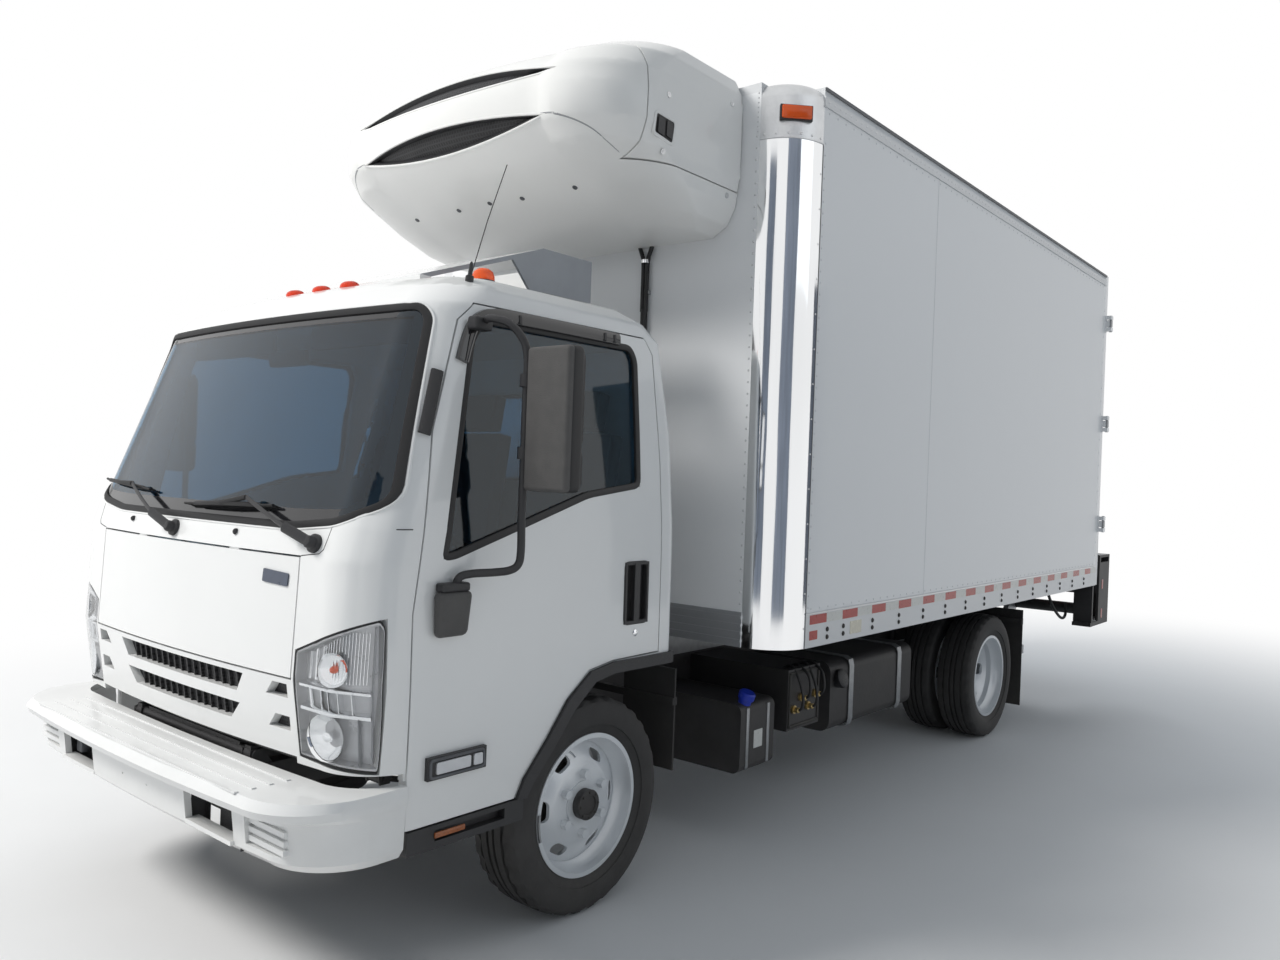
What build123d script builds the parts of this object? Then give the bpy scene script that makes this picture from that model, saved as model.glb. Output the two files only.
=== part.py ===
from build123d import *

import math
import os

# Refrigerated cab-over box truck, in millimetres.
# +Z is up, the cab faces -Y and the driver's side is +X.
# The model is laid out with y = 0 at the front axle, and every piece is moved by SHIFT when it
# is written, so that the origin is on the ground in the middle of the overall length.

# Overall layout, y from the front axle
WHEELBASE = 3810.0
REAR_OVERHANG = 1856.0
GATE_REACH = 474.0
BOX_REAR = WHEELBASE + REAR_OVERHANG
BUMPER_FRONT = -1335.0
STEP_REAR = BOX_REAR + GATE_REACH
SHIFT = -(BUMPER_FRONT + STEP_REAR) / 2

# Clearances
PANEL_GAP = 6.0
SEAT_GAP = 0.3

# Tyres and wheels
TYRE_R = 403.0
TYRE_W = 225.0
RIM_R = 257.0
RIM_W = 190.0
RIM_WALL = 8.0
FLANGE_T = 6.0
AXLE_Z = TYRE_R
FRONT_WHEEL_X = 832.0
REAR_DUAL_X = 825.0
DUAL_SPACING = 262.0
FRONT_DISC = 62.0
DISC_T = 12.0
LUG_COUNT = 6
LUG_PCD = 222.25
HUB_BORE_R = 82.0
HAND_HOLES = 6

# Axles and steering
KINGPIN_X = 720.0
KINGPIN_R = 20.0
BOSS_R = 36.0
BOSS_H = 130.0
STEER_ARM = 165.0
TIE_ROD_R = 14.0
BEAM_DROP = 75.0
PINION_Y = WHEELBASE - 290.0
SPRING_W = 70.0
FRONT_SPRING_X = 395.0
REAR_SPRING_X = 500.0
FRONT_EYES = (-560.0, 620.0)
REAR_EYES = (WHEELBASE - 640.0, WHEELBASE + 640.0)
FRONT_EYE_Z = 511.0
REAR_EYE_Z = 611.0
LEAF_T = 11.0
LEAVES = 4
EYE_R = 24.0
EYE_PIN_R = 12.0

# Frame
RAIL_OUT = 425.0
RAIL_FLANGE = 65.0
RAIL_T = 8.0
RAIL_LOW = 560.0
RAIL_TOP = 760.0
RAIL_FRONT = -1110.0
BRACKET_FRONT = RAIL_FRONT - 60.0
HORN_TOP = 656.0
TOW_R = 16.0
TOW_Z = 576.0
RAIL_REAR = BOX_REAR - 106.0
ENGINE_HALF = 265.0
ENGINE_REAR = 330.0
ENGINE_MOUNTS = (-220.0, 120.0)

# Box body
BOX_FRONT = 854.0
BOX_HALF = 1219.0
BOX_LOW = 912.0
BOX_TOP = 3373.0
WALL_T = 75.0
FRONT_WALL_T = 100.0
FLOOR_LOW = 985.0
FLOOR_TOP = 1100.0
POST_R = 200.0
CAP_LOW = BOX_TOP - 253.0
CAP_ROUND = 70.0
RAIL_HEIGHT = 153.0
ROOF_RAIL = 85.0
CROSS_COUNT = 13

# Rear doors of the box
JAMB_X = 1112.0
SILL_TOP = 1145.0
HEADER_LOW = BOX_TOP - 118.0
DOOR_T = 70.0
REAR_FRAME_T = 62.0
BOX_HINGE_X = 1240.0
BOX_HINGE_Y = BOX_REAR + 34.0
PIN_R = 11.0

# Cab
CAB_T = 45.0
CAB_PIVOT_Y = -1055.0
CAB_PIVOT_Z = 690.0
PIVOT_R = 18.0
CAB_LOW = 715.0
FRONT_LOW = 745.0
PLATE_PITCH = 178.0
PLATE_HOLE_R = 3.5
PLATE_Z = 560.0
CAB_BACK_LOW = 945.0
TUNNEL_TOP = 1160.0
FLOOR_T = 40.0
DOOR_LOW = 548.0
DOOR_FRONT = -897.0
DOOR_REAR = 290.0
DOOR_TOP = 2178.0
HANDLE_Y = (76.0, 213.0)
HANDLE_Z = (1081.0, 1314.0)
ARCH_TOP = 912.0
TRIM_PROUD = 14.0
STEP_IN = 950.0
STEP_LOW = 468.0
ROOF_SPLIT = DOOR_TOP + PANEL_GAP

# Front lid, grille and lamps
LID_TOP = 1355.0
LID_LOW = 990.0
LID_HALF = 690.0
FIN_PITCH = 46.0
LID_HINGE_Y = -1124.0

# Refrigeration unit on the box front
UNIT_T = 30.0
UNIT_DOOR_X = 720.0
UNIT_DOOR_FRONT = 200.0
UNIT_DOOR_LOW = BOX_TOP - 468.0
UNIT_DOOR_REAR = 836.0
UNIT_HINGE_X = 938.0

PARTS = {}


def keep(name, *shapes):
    """Record the solids of one node."""
    PARTS[name] = list(shapes)


def block(x, y, z):
    """A box from its ranges along x, y and z."""
    size = (x[1] - x[0], y[1] - y[0], z[1] - z[0])
    middle = ((x[0] + x[1]) / 2, (y[0] + y[1]) / 2, (z[0] + z[1]) / 2)
    return Pos(*middle) * Box(*size)


def round_x(y, z, radius, x0, x1):
    """A cylinder along x."""
    return Pos((x0 + x1) / 2, y, z) * Rot(0, 90, 0) * Cylinder(radius, x1 - x0)


def round_y(x, z, radius, y0, y1):
    """A cylinder along y."""
    return Pos(x, (y0 + y1) / 2, z) * Rot(90, 0, 0) * Cylinder(radius, y1 - y0)


def round_z(x, y, radius, z0, z1):
    """A cylinder along z."""
    return Pos(x, y, (z0 + z1) / 2) * Cylinder(radius, z1 - z0)


def side_plate(points, x0, x1):
    """A polygon of (y, z) points, extruded along x from x0 to x1."""
    outline = Polyline(*[(x0, y, z) for y, z in points], close=True)
    return extrude(Face(Wire(outline.edges())), amount=x1 - x0, dir=(1, 0, 0))


def front_plate(points, y0, y1):
    """A polygon of (x, z) points, extruded along y from y0 to y1."""
    outline = Polyline(*[(x, y0, z) for x, z in points], close=True)
    return extrude(Face(Wire(outline.edges())), amount=y1 - y0, dir=(0, 1, 0))


def flat_plate(points, z0, z1):
    """A polygon of (x, y) points, extruded along z from z0 to z1."""
    outline = Polyline(*[(x, y, z0) for x, y in points], close=True)
    return extrude(Face(Wire(outline.edges())), amount=z1 - z0, dir=(0, 0, 1))


def inset_outline(points, gap):
    """A polygon drawn in by gap on every side."""
    count = len(points)
    area = sum(points[i - 1][0] * points[i][1] - points[i][0] * points[i - 1][1] for i in range(count))
    turn = gap if area > 0 else -gap
    lines = []
    for i in range(count):
        (a, b), (c, d) = points[i - 1], points[i]
        long = math.hypot(c - a, d - b)
        normal = ((b - d) / long, (c - a) / long)
        lines.append((normal, normal[0] * a + normal[1] * b + turn))
    drawn = []
    for i in range(count):
        (n, h), (m, k) = lines[i], lines[(i + 1) % count]
        cross = n[0] * m[1] - n[1] * m[0]
        drawn.append(((h * m[1] - k * n[1]) / cross, (n[0] * k - m[0] * h) / cross))
    return drawn


def opposite(shape):
    """The same shape on the other side of the truck."""
    return mirror(shape, about=Plane.YZ)


def arc_through(start, end, corner):
    """A round corner from start to end, tangent-like to the two lines that meet at corner."""
    pull = 1 - math.sqrt(0.5)
    middle = tuple(c + pull * ((s - c) + (e - c)) for s, e, c in zip(start, end, corner))
    return ThreePointArc(start, middle, end)


def plan_section(z, front, bow, flat, half, corner, rear, rear_corner):
    """A closed plan outline at height z: a bowed front, round corners and straight sides."""
    shoulder = front + bow
    side = shoulder + corner
    edges = [
        ThreePointArc((-flat, shoulder, z), (0, front, z), (flat, shoulder, z)),
        arc_through((flat, shoulder, z), (half, side, z), (half, shoulder, z)),
        Line((half, side, z), (half, rear - rear_corner, z)),
        arc_through((half, rear - rear_corner, z), (half - rear_corner, rear, z), (half, rear, z)),
        Line((half - rear_corner, rear, z), (rear_corner - half, rear, z)),
        arc_through((rear_corner - half, rear, z), (-half, rear - rear_corner, z), (-half, rear, z)),
        Line((-half, rear - rear_corner, z), (-half, side, z)),
        arc_through((-half, side, z), (-flat, shoulder, z), (-half, shoulder, z)),
    ]
    return Face(Wire(edges))


def plan_loft(sections, inset=0.0, low=None, high=None):
    """A ruled body through plan sections, set in by inset all round."""
    faces = []
    for z, front, bow, flat, half, corner, rear, rear_corner in sections:
        faces.append(plan_section(z, front + inset, bow, flat, half - inset,
                                  corner - inset, rear - inset, rear_corner))
    return loft(faces, ruled=True)


def slab(z0, z1, reach=4000.0):
    """Everything between two heights."""
    return block((-reach, reach), (-reach, 2 * reach), (z0, z1))


# Tyres and wheels, drawn round the x axis and then placed

def ring_x(points, x):
    """Revolve a closed outline of (across, radius) points round the axle line at x."""
    outline = Polyline(*[(a, 0, r) for a, r in points], close=True)
    solid = revolve(Face(Wire(outline.edges())), axis=Axis.X, revolution_arc=360)
    return Pos(x, 0, 0) * solid


def tyre():
    """One tyre: crown, shoulders, bulged sidewalls and beads."""
    half = TYRE_W / 2
    bead = RIM_R + SEAT_GAP
    seat = RIM_W / 2 - FLANGE_T - SEAT_GAP
    edges = [
        ThreePointArc((-80, 0, TYRE_R - 4), (0, 0, TYRE_R), (80, 0, TYRE_R - 4)),
        ThreePointArc((80, 0, TYRE_R - 4), (98, 0, TYRE_R - 13), (105, 0, TYRE_R - 32)),
        ThreePointArc((105, 0, TYRE_R - 32), (half, 0, 335), (seat, 0, bead + 14)),
        Line((seat, 0, bead + 14), (seat, 0, bead)),
        Line((seat, 0, bead), (-seat, 0, bead)),
        Line((-seat, 0, bead), (-seat, 0, bead + 14)),
        ThreePointArc((-seat, 0, bead + 14), (-half, 0, 335), (-105, 0, TYRE_R - 32)),
        ThreePointArc((-105, 0, TYRE_R - 32), (-98, 0, TYRE_R - 13), (-80, 0, TYRE_R - 4)),
    ]
    return revolve(Face(Wire(edges)), axis=Axis.X, revolution_arc=360)


def rim(disc_at, bulge):
    """A rim barrel and its disc. The disc's bolting face is at disc_at, its outer part at
    disc_at - bulge, and it carries hand holes and stud holes."""
    half = RIM_W / 2
    outside = [(half, RIM_R + 9), (half - FLANGE_T, RIM_R + 9), (half - FLANGE_T, RIM_R),
               (half - 32, RIM_R), (40, RIM_R - 9), (20, RIM_R - 24)]
    inside = [(half, RIM_R - RIM_WALL), (half - 30, RIM_R - RIM_WALL), (44, RIM_R - 9 - RIM_WALL),
              (24, RIM_R - 24 - RIM_WALL)]
    barrel = ring_x([(-a, r) for a, r in outside] + outside[::-1] + inside
                    + [(-a, r) for a, r in inside[::-1]], 0)
    outer = disc_at - bulge
    disc = ring_x([(outer, RIM_R - 28), (outer + bulge * 0.25, 205), (outer + bulge * 0.85, 160),
                   (disc_at, 145), (disc_at, HUB_BORE_R), (disc_at - DISC_T, HUB_BORE_R),
                   (disc_at - DISC_T, 141), (outer + bulge * 0.85 - DISC_T, 155),
                   (outer + bulge * 0.25 - 10, 200), (outer - 10, RIM_R - 28)], 0)
    wheel = barrel + disc
    for i in range(HAND_HOLES):
        angle = 360 / HAND_HOLES * (i + 0.5)
        hole = SlotOverall(78, 40)
        cutter = extrude(Plane.YZ * hole, amount=400, both=True)
        wheel -= Rot(angle, 0, 0) * Pos(0, 0, 183) * cutter
    return wheel


def lugs(x, length):
    """A ring of lug nuts whose seats are at x."""
    nuts = []
    for i in range(LUG_COUNT):
        angle = 360 / LUG_COUNT * i
        nut = extrude(Plane.YZ * RegularPolygon(18, 6), amount=length)
        nuts.append(Rot(angle, 0, 0) * Pos(x, 0, LUG_PCD / 2) * nut)
    return nuts


def wheels():
    front = rim(FRONT_DISC, 48)
    front += round_x(0, 0, HUB_BORE_R + 2, FRONT_DISC - DISC_T, FRONT_DISC + 6)
    front += round_x(0, 0, 56, FRONT_DISC, FRONT_DISC + 36)
    for nut in lugs(FRONT_DISC - 1, 27):
        front += nut
    place = Pos(FRONT_WHEEL_X, 0, AXLE_Z)
    keep("front_wheel_left", place * front)
    keep("front_wheel_right", opposite(place * front))
    keep("front_tire_left", place * tyre())
    keep("front_tire_right", opposite(place * tyre()))

    # The twin rims bolt together at the middle plane of the pair, so the outer one is deeply dished
    offset = DUAL_SPACING / 2
    outer = Pos(offset, 0, 0) * Rot(0, 0, 180) * rim(offset, offset - 14)
    inner = Pos(-offset, 0, 0) * rim(offset, offset - 14)
    pair = outer + inner
    pair += round_x(0, 0, HUB_BORE_R + 2, -DISC_T, DISC_T + 2)
    pair += round_x(0, 0, 66, 0, 92)
    for nut in lugs(11, 34):
        pair += nut
    place = Pos(REAR_DUAL_X, WHEELBASE, AXLE_Z)
    keep("rear_wheels_left", place * pair)
    keep("rear_wheels_right", opposite(place * pair))
    tyres = [place * Pos(side * offset, 0, 0) * tyre() for side in (-1, 1)]
    keep("rear_tires_left", *tyres)
    keep("rear_tires_right", *[opposite(t) for t in tyres])


def spring_pack(x, y0, y1, z_seat, z_eye):
    """A pack of leaves between two bored eyes, sagging to its seat at mid length."""
    half = (y1 - y0) / 2
    middle = (y0 + y1) / 2

    def sag(share):
        return z_seat + (z_eye - z_seat) * share ** 2

    top = [(middle + half * i / 4, sag(i / 4) + LEAF_T) for i in range(-4, 5)]
    # The underside steps down a leaf at each leaf's end
    under = [(middle - half, sag(1))]
    for i in range(1, LEAVES):
        share = 1 - 0.2 * i
        under.append((middle - half * share, sag(share) - LEAF_T * (i - 1)))
        under.append((middle - half * share, sag(share) - LEAF_T * i))
    under.append((middle, z_seat - LEAF_T * (LEAVES - 1)))
    mirrored = [(2 * middle - y, z) for y, z in under[-2::-1]]
    pack = side_plate(top[::-1] + under + mirrored, x - SPRING_W / 2, x + SPRING_W / 2)
    for y in (y0, y1):
        pack += round_x(y, z_eye + LEAF_T, EYE_R, x - SPRING_W / 2, x + SPRING_W / 2)
        pack -= round_x(y, z_eye + LEAF_T, EYE_PIN_R + SEAT_GAP, x - SPRING_W, x + SPRING_W)
    return pack


def spring_hanger(x, y, z, top, rail_x):
    """Two cheeks and a pin that carry a spring eye at (x, y, z) under a saddle at height top."""
    cheek_in = SPRING_W / 2 + SEAT_GAP
    cheek_out = cheek_in + RAIL_T
    hanger = block((min(x - cheek_out, rail_x), x + cheek_out), (y - 34, y + 34), (top - 14, top))
    for x0, x1 in ((x - cheek_out, x - cheek_in), (x + cheek_in, x + cheek_out)):
        hanger += side_plate([(y - 34, top - 2), (y - 22, z - 22), (y + 22, z - 22), (y + 34, top - 2)], x0, x1)
    hanger += round_x(y, z, EYE_PIN_R, x - cheek_out - 8, x + cheek_out + 8)
    return hanger


def running_gear():
    # Front beam: dropped middle, ends that rise to the kingpin bosses
    low = AXLE_Z - BEAM_DROP
    reach = KINGPIN_X - BOSS_R + 12
    beam = front_plate([(-reach, AXLE_Z - 30), (-610, low - 32), (610, low - 32), (reach, AXLE_Z - 30),
                        (reach, AXLE_Z + 30), (570, low + 32), (-570, low + 32), (-reach, AXLE_Z + 30)],
                       -38, 38)
    for side in (-1, 1):
        beam += round_z(side * KINGPIN_X, 0, BOSS_R, AXLE_Z - BOSS_H / 2, AXLE_Z + BOSS_H / 2)
        beam -= round_z(side * KINGPIN_X, 0, KINGPIN_R + SEAT_GAP, AXLE_Z - BOSS_H, AXLE_Z + BOSS_H)
        beam += block((side * FRONT_SPRING_X - 50, side * FRONT_SPRING_X + 50), (-60, 60),
                      (low + 30, low + 44))

    # Rear axle: banjo housing, tubes and brake drums
    tube_end = REAR_DUAL_X - DISC_T - SEAT_GAP
    rear = round_x(WHEELBASE, AXLE_Z, 62, -tube_end, tube_end)
    housing = Pos(0, WHEELBASE, AXLE_Z) * Sphere(190)
    rear += housing & block((-150, 150), (WHEELBASE - 200, WHEELBASE + 200), (0, 900))
    rear += round_y(0, AXLE_Z, 60, PINION_Y, WHEELBASE - 100)
    for side in (-1, 1):
        drum_x = side * 622
        rear += round_x(WHEELBASE, AXLE_Z, 150, drum_x - 62, drum_x + 62)
        rear += block((side * REAR_SPRING_X - 50, side * REAR_SPRING_X + 50),
                      (WHEELBASE - 70, WHEELBASE + 70), (AXLE_Z + 40, AXLE_Z + 75))
    keep("axles", beam, rear)

    # Leaf springs
    stack = LEAF_T * (LEAVES - 1)
    front_seat = low + 44 + SEAT_GAP + stack
    rear_seat = AXLE_Z + 75 + SEAT_GAP + stack
    packs = []
    for side in (-1, 1):
        packs.append(spring_pack(side * FRONT_SPRING_X, *FRONT_EYES, front_seat, FRONT_EYE_Z - LEAF_T))
        packs.append(spring_pack(side * REAR_SPRING_X, *REAR_EYES, rear_seat, REAR_EYE_Z - LEAF_T))
    keep("leaf_springs", *packs)

    # Steering knuckle: a fork round the boss, a spindle, a brake plate and a steering arm
    fork_low = AXLE_Z - BOSS_H / 2 - 5
    fork_high = AXLE_Z + BOSS_H / 2 + 5
    web_x = KINGPIN_X + BOSS_R + 16
    knuckle = block((web_x, web_x + 26), (-46, 46), (fork_low - 34, fork_high + 34))
    for z0, z1 in ((fork_low - 34, fork_low), (fork_high, fork_high + 34)):
        knuckle += block((KINGPIN_X, web_x + 4), (-34, 34), (z0, z1))
        knuckle += round_z(KINGPIN_X, 0, 34, z0, z1)
    knuckle += round_x(0, AXLE_Z, 150, web_x + 20, web_x + 62)
    knuckle += round_x(0, AXLE_Z, 44, web_x + 20, FRONT_WHEEL_X + FRONT_DISC - DISC_T - SEAT_GAP)
    knuckle += round_z(KINGPIN_X, 0, KINGPIN_R, fork_low - 10, fork_high + 10)
    arm_low = fork_low - 34
    knuckle += block((KINGPIN_X - 20, KINGPIN_X + 20), (0, STEER_ARM), (arm_low, arm_low + 22))
    knuckle += round_z(KINGPIN_X, STEER_ARM, 22, arm_low, arm_low + 22)
    keep("knuckle_left", knuckle)
    keep("knuckle_right", opposite(knuckle))

    # Tie rod under the two arms, with a ball housing at each end
    rod_z = arm_low - 6 - TIE_ROD_R
    rod = round_x(STEER_ARM, rod_z, TIE_ROD_R, -KINGPIN_X, KINGPIN_X)
    for side in (-1, 1):
        rod += round_z(side * KINGPIN_X, STEER_ARM, 20, rod_z - 18, arm_low - SEAT_GAP)
    keep("tie_rod", rod)


def frame():
    rails = None
    for side in (-1, 1):
        outer = block((RAIL_OUT - RAIL_FLANGE, RAIL_OUT), (RAIL_FRONT, RAIL_REAR), (RAIL_LOW, RAIL_TOP))
        channel = block((RAIL_OUT - RAIL_FLANGE - 1, RAIL_OUT - RAIL_T),
                        (RAIL_FRONT - 1, RAIL_REAR + 1), (RAIL_LOW + RAIL_T, RAIL_TOP - RAIL_T))
        rail = outer - channel
        rail -= side_plate([(RAIL_FRONT - 1, RAIL_LOW - 1), (RAIL_FRONT - 1, RAIL_LOW + 70),
                            (RAIL_FRONT + 260, RAIL_LOW - 1)], 300, 500)
        # The rail top is cut down in front of the cab's floor
        rail -= block((300, 500), (RAIL_FRONT - 1, -420), (HORN_TOP, RAIL_TOP + 1))
        rail += block((RAIL_OUT - RAIL_FLANGE, RAIL_OUT), (RAIL_FRONT, -420), (HORN_TOP - RAIL_T, HORN_TOP))
        rail += block((RAIL_OUT - RAIL_FLANGE, RAIL_OUT), (-428, -420), (HORN_TOP - RAIL_T, RAIL_TOP))
        if side < 0:
            rail = opposite(rail)
        rails = rail if rails is None else rails + rail
    inner = RAIL_OUT - RAIL_T
    # Cross members: y, bottom and top
    crosses = [(-1060, 580, 640), (1000, 690, 750), (1750, 690, 750), (2650, 690, 750),
               (WHEELBASE - 480, 690, 750), (WHEELBASE + 490, 690, 750),
               (RAIL_REAR - 80, 580, 740)]
    for y, z0, z1 in crosses:
        rails += block((-inner - 2, inner + 2), (y - 30, y + 30), (z0, z1))
    # Bumper brackets and the cab pivot ears
    for side in (-1, 1):
        x0, x1 = sorted((side * (RAIL_OUT - RAIL_FLANGE), side * RAIL_OUT))
        rails += block((x0, x1), (BRACKET_FRONT, RAIL_FRONT + 2), (TOW_Z - 36, HORN_TOP))
        for ear in (x0 + 4, x1 - 12):
            rails += side_plate([(CAB_PIVOT_Y - 26, HORN_TOP - 4), (CAB_PIVOT_Y + 60, HORN_TOP - 4),
                                 (CAB_PIVOT_Y + 22, CAB_PIVOT_Z + 16), (CAB_PIVOT_Y - 22, CAB_PIVOT_Z + 16)],
                                ear, ear + 8)
    for side in (-1, 1):
        x0, x1 = sorted((side * (RAIL_OUT - RAIL_FLANGE), side * RAIL_OUT))
        rails -= round_x(CAB_PIVOT_Y, CAB_PIVOT_Z, PIVOT_R + 0.3, x0 - 5, x1 + 5) & slab(RAIL_LOW, CAB_LOW)
    # Spring hangers, and brackets that carry the engine's sides
    for y in FRONT_EYES:
        hanger = spring_hanger(FRONT_SPRING_X, y, FRONT_EYE_Z, RAIL_LOW + 2, FRONT_SPRING_X)
        rails += hanger
        rails += opposite(hanger)
    for y in REAR_EYES:
        hanger = spring_hanger(REAR_SPRING_X, y, REAR_EYE_Z, REAR_EYE_Z + 52, RAIL_OUT - 2)
        rails += hanger
        rails += opposite(hanger)
    for y in ENGINE_MOUNTS:
        bracket = block((ENGINE_HALF + SEAT_GAP, inner + 2), (y - 35, y + 35), (610, 650))
        rails += bracket
        rails += opposite(bracket)
    # Tow sockets in the two bumper brackets, reached from the front through the bumper
    for side in (-1, 1):
        rails -= round_y(side * (RAIL_OUT - RAIL_FLANGE / 2), TOW_Z, TOW_R, BRACKET_FRONT - 1, RAIL_FRONT + 3)
    keep("frame_rails", rails)


def bumper():
    # z, front, bow, flat, half, corner, rear, rear corner
    outer = [
        (470, -1215, 22, 760, 985, 200, -905, 4),
        (500, -1248, 22, 770, 1006, 210, -905, 4),
        (622, -1262, 22, 770, 1012, 215, -905, 4),
        (640, -1320, 24, 780, 1020, 235, -905, 4),
        (665, BUMPER_FRONT, 26, 780, 1022, 245, -905, 4),
        (690, -1312, 26, 775, 1016, 240, -905, 4),
    ]
    body = plan_loft(outer)
    deep = [(z, front, bow, flat, half, corner, rear + 60, rear_corner)
            for z, front, bow, flat, half, corner, rear, rear_corner in outer]
    hollow = plan_loft(deep, inset=22) & slab(400, 668)
    deck_cut = loft([
        plan_section(600, -1092, 22, 800, 986, 175, -840, 4),
        plan_section(720, -1092, 22, 800, 986, 175, -840, 4)], ruled=True)
    body = body - hollow - deck_cut
    for y in (-1290, -1235, -1180, -1125):
        body += block((-730, 730), (y - 7, y + 7), (689, 694))
    for side in (-1, 1):
        # Tow opening with its pocket, and the ribbed blank outboard of it
        x0, x1 = sorted((side * 345, side * 625))
        body -= block((x0, x1), (-1300, -1200), (500, 618))
        body += front_plate([(x0 - 2, 498), (x1 + 2, 498), (x1 + 2, 512), (x0 - 2, 512)], -1246, -1200)
        x0, x1 = sorted((side * 690, side * 880))
        body -= block((x0, x1), (-1300, -1216), (520, 612))
        for z in (530, 556, 582):
            body += block((x0 - 1, x1 + 1), (-1226, -1190), (z, z + 16))
        # Stay under the deck, back to the frame's bracket
        x0, x1 = sorted((side * (RAIL_OUT - RAIL_FLANGE), side * RAIL_OUT))
        body += block((x0, x1), (-1290, BRACKET_FRONT - SEAT_GAP), (626, 669))
    for x in (-PLATE_PITCH / 2, PLATE_PITCH / 2):
        body -= round_y(x, PLATE_Z, PLATE_HOLE_R, -1300, -1200)
    keep("front_bumper", body)


# Cab, cut from one outer and one inner form
# z, front, bow, flat, half, corner, rear, rear corner
CAB_SECTIONS = [
    (500, -1096, 36, 800, 1000, 190, 400, 60),
    (700, -1096, 36, 800, 1002, 190, 400, 60),
    (985, -1138, 38, 800, 1004, 190, 400, 60),
    (1355, -1120, 38, 798, 1001, 190, 400, 60),
    (1450, -1092, 38, 795, 998, 190, 400, 60),
    (1800, -970, 40, 765, 968, 185, 398, 60),
    (2170, -842, 42, 740, 930, 180, 350, 60),
    (2240, -775, 46, 715, 895, 175, 300, 70),
    (2290, -680, 50, 680, 830, 160, 230, 80),
    (2312, -560, 54, 620, 740, 140, 140, 80),
]


# The wheel arch and the door's edge over it, as (y, z) points from the front
ARCH_EDGE = [(-412, 545), (-384, 590), (-290, 690), (-192, 808), (-84, 894), (20, ARCH_TOP)]
DOOR_OVER_ARCH = [(-455, DOOR_LOW), (-425, 608), (-322, 722), (-222, 845), (-105, 935), (20, 955)]


def wheel_arch(reach):
    """The opening over the front wheel, seen from the side."""
    return side_plate([(-412, 300)] + ARCH_EDGE + [(500, ARCH_TOP), (500, 300)], -reach, reach)


def cab_trim():
    """Black arch trims over the edge between door and arch, and the step panels under the doors."""
    band = [(y + PANEL_GAP, z) for y, z in DOOR_OVER_ARCH[:4]]
    band += [(-105, 935 - PANEL_GAP), (20, 955 - PANEL_GAP), (388, 955 - PANEL_GAP), (388, ARCH_TOP - 6)]
    band += [(y + 5, z - 5) for y, z in ARCH_EDGE[::-1]]
    layer = plan_loft(CAB_SECTIONS, inset=-TRIM_PROUD) - plan_loft(CAB_SECTIONS, inset=-SEAT_GAP)
    arch = layer & side_plate(band, 900, 1100)
    step_top = DOOR_LOW - PANEL_GAP
    step = block((STEP_IN, 1003), (DOOR_FRONT + 5, ARCH_EDGE[0][0]), (STEP_LOW, step_top))
    step += block((965, 1000), (DOOR_OVER_ARCH[0][0] + PANEL_GAP + 3, ARCH_EDGE[0][0]),
                  (step_top - 1, DOOR_LOW - SEAT_GAP))
    step -= block((STEP_IN + 22, 1010), (DOOR_FRONT + 110, DOOR_FRONT + 400), (STEP_LOW + 24, step_top - 16))
    keep("cab_trim", arch, opposite(arch), step, opposite(step))


def door_region(x0, x1, grow):
    """The side door's outline, grown by the panel gap for the opening."""
    g = grow
    edge = DOOR_OVER_ARCH
    points = [(DOOR_FRONT - g, DOOR_LOW - g), (edge[0][0] + g, DOOR_LOW - g)]
    points += [(y + g, z) for y, z in edge[1:3]] + [(edge[3][0] + g, edge[3][1] - g)]
    points += [(y, z - g) for y, z in edge[4:]]
    points += [(DOOR_REAR + g, 960 - g), (DOOR_REAR + g, 1700),
              (268 + g, 2120), (225, DOOR_TOP + g), (-640, DOOR_TOP + g), (-700 - g, 2120), (-815 - g, 1760),
              (-862 - g, 1450), (DOOR_FRONT - g, 1200)]
    return side_plate(points, x0, x1)


def window_region(x0, x1, shrink):
    """The door's side window with its kinked lower edge, drawn in by shrink."""
    points = [(166, 1600), (172, 2090), (140, 2138), (-600, 2138), (-660, 2070),
              (-712, 1800), (-790, 1362), (-745, 1364), (-125, 1560)]
    return side_plate(inset_outline(points, shrink), x0, x1)


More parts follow.
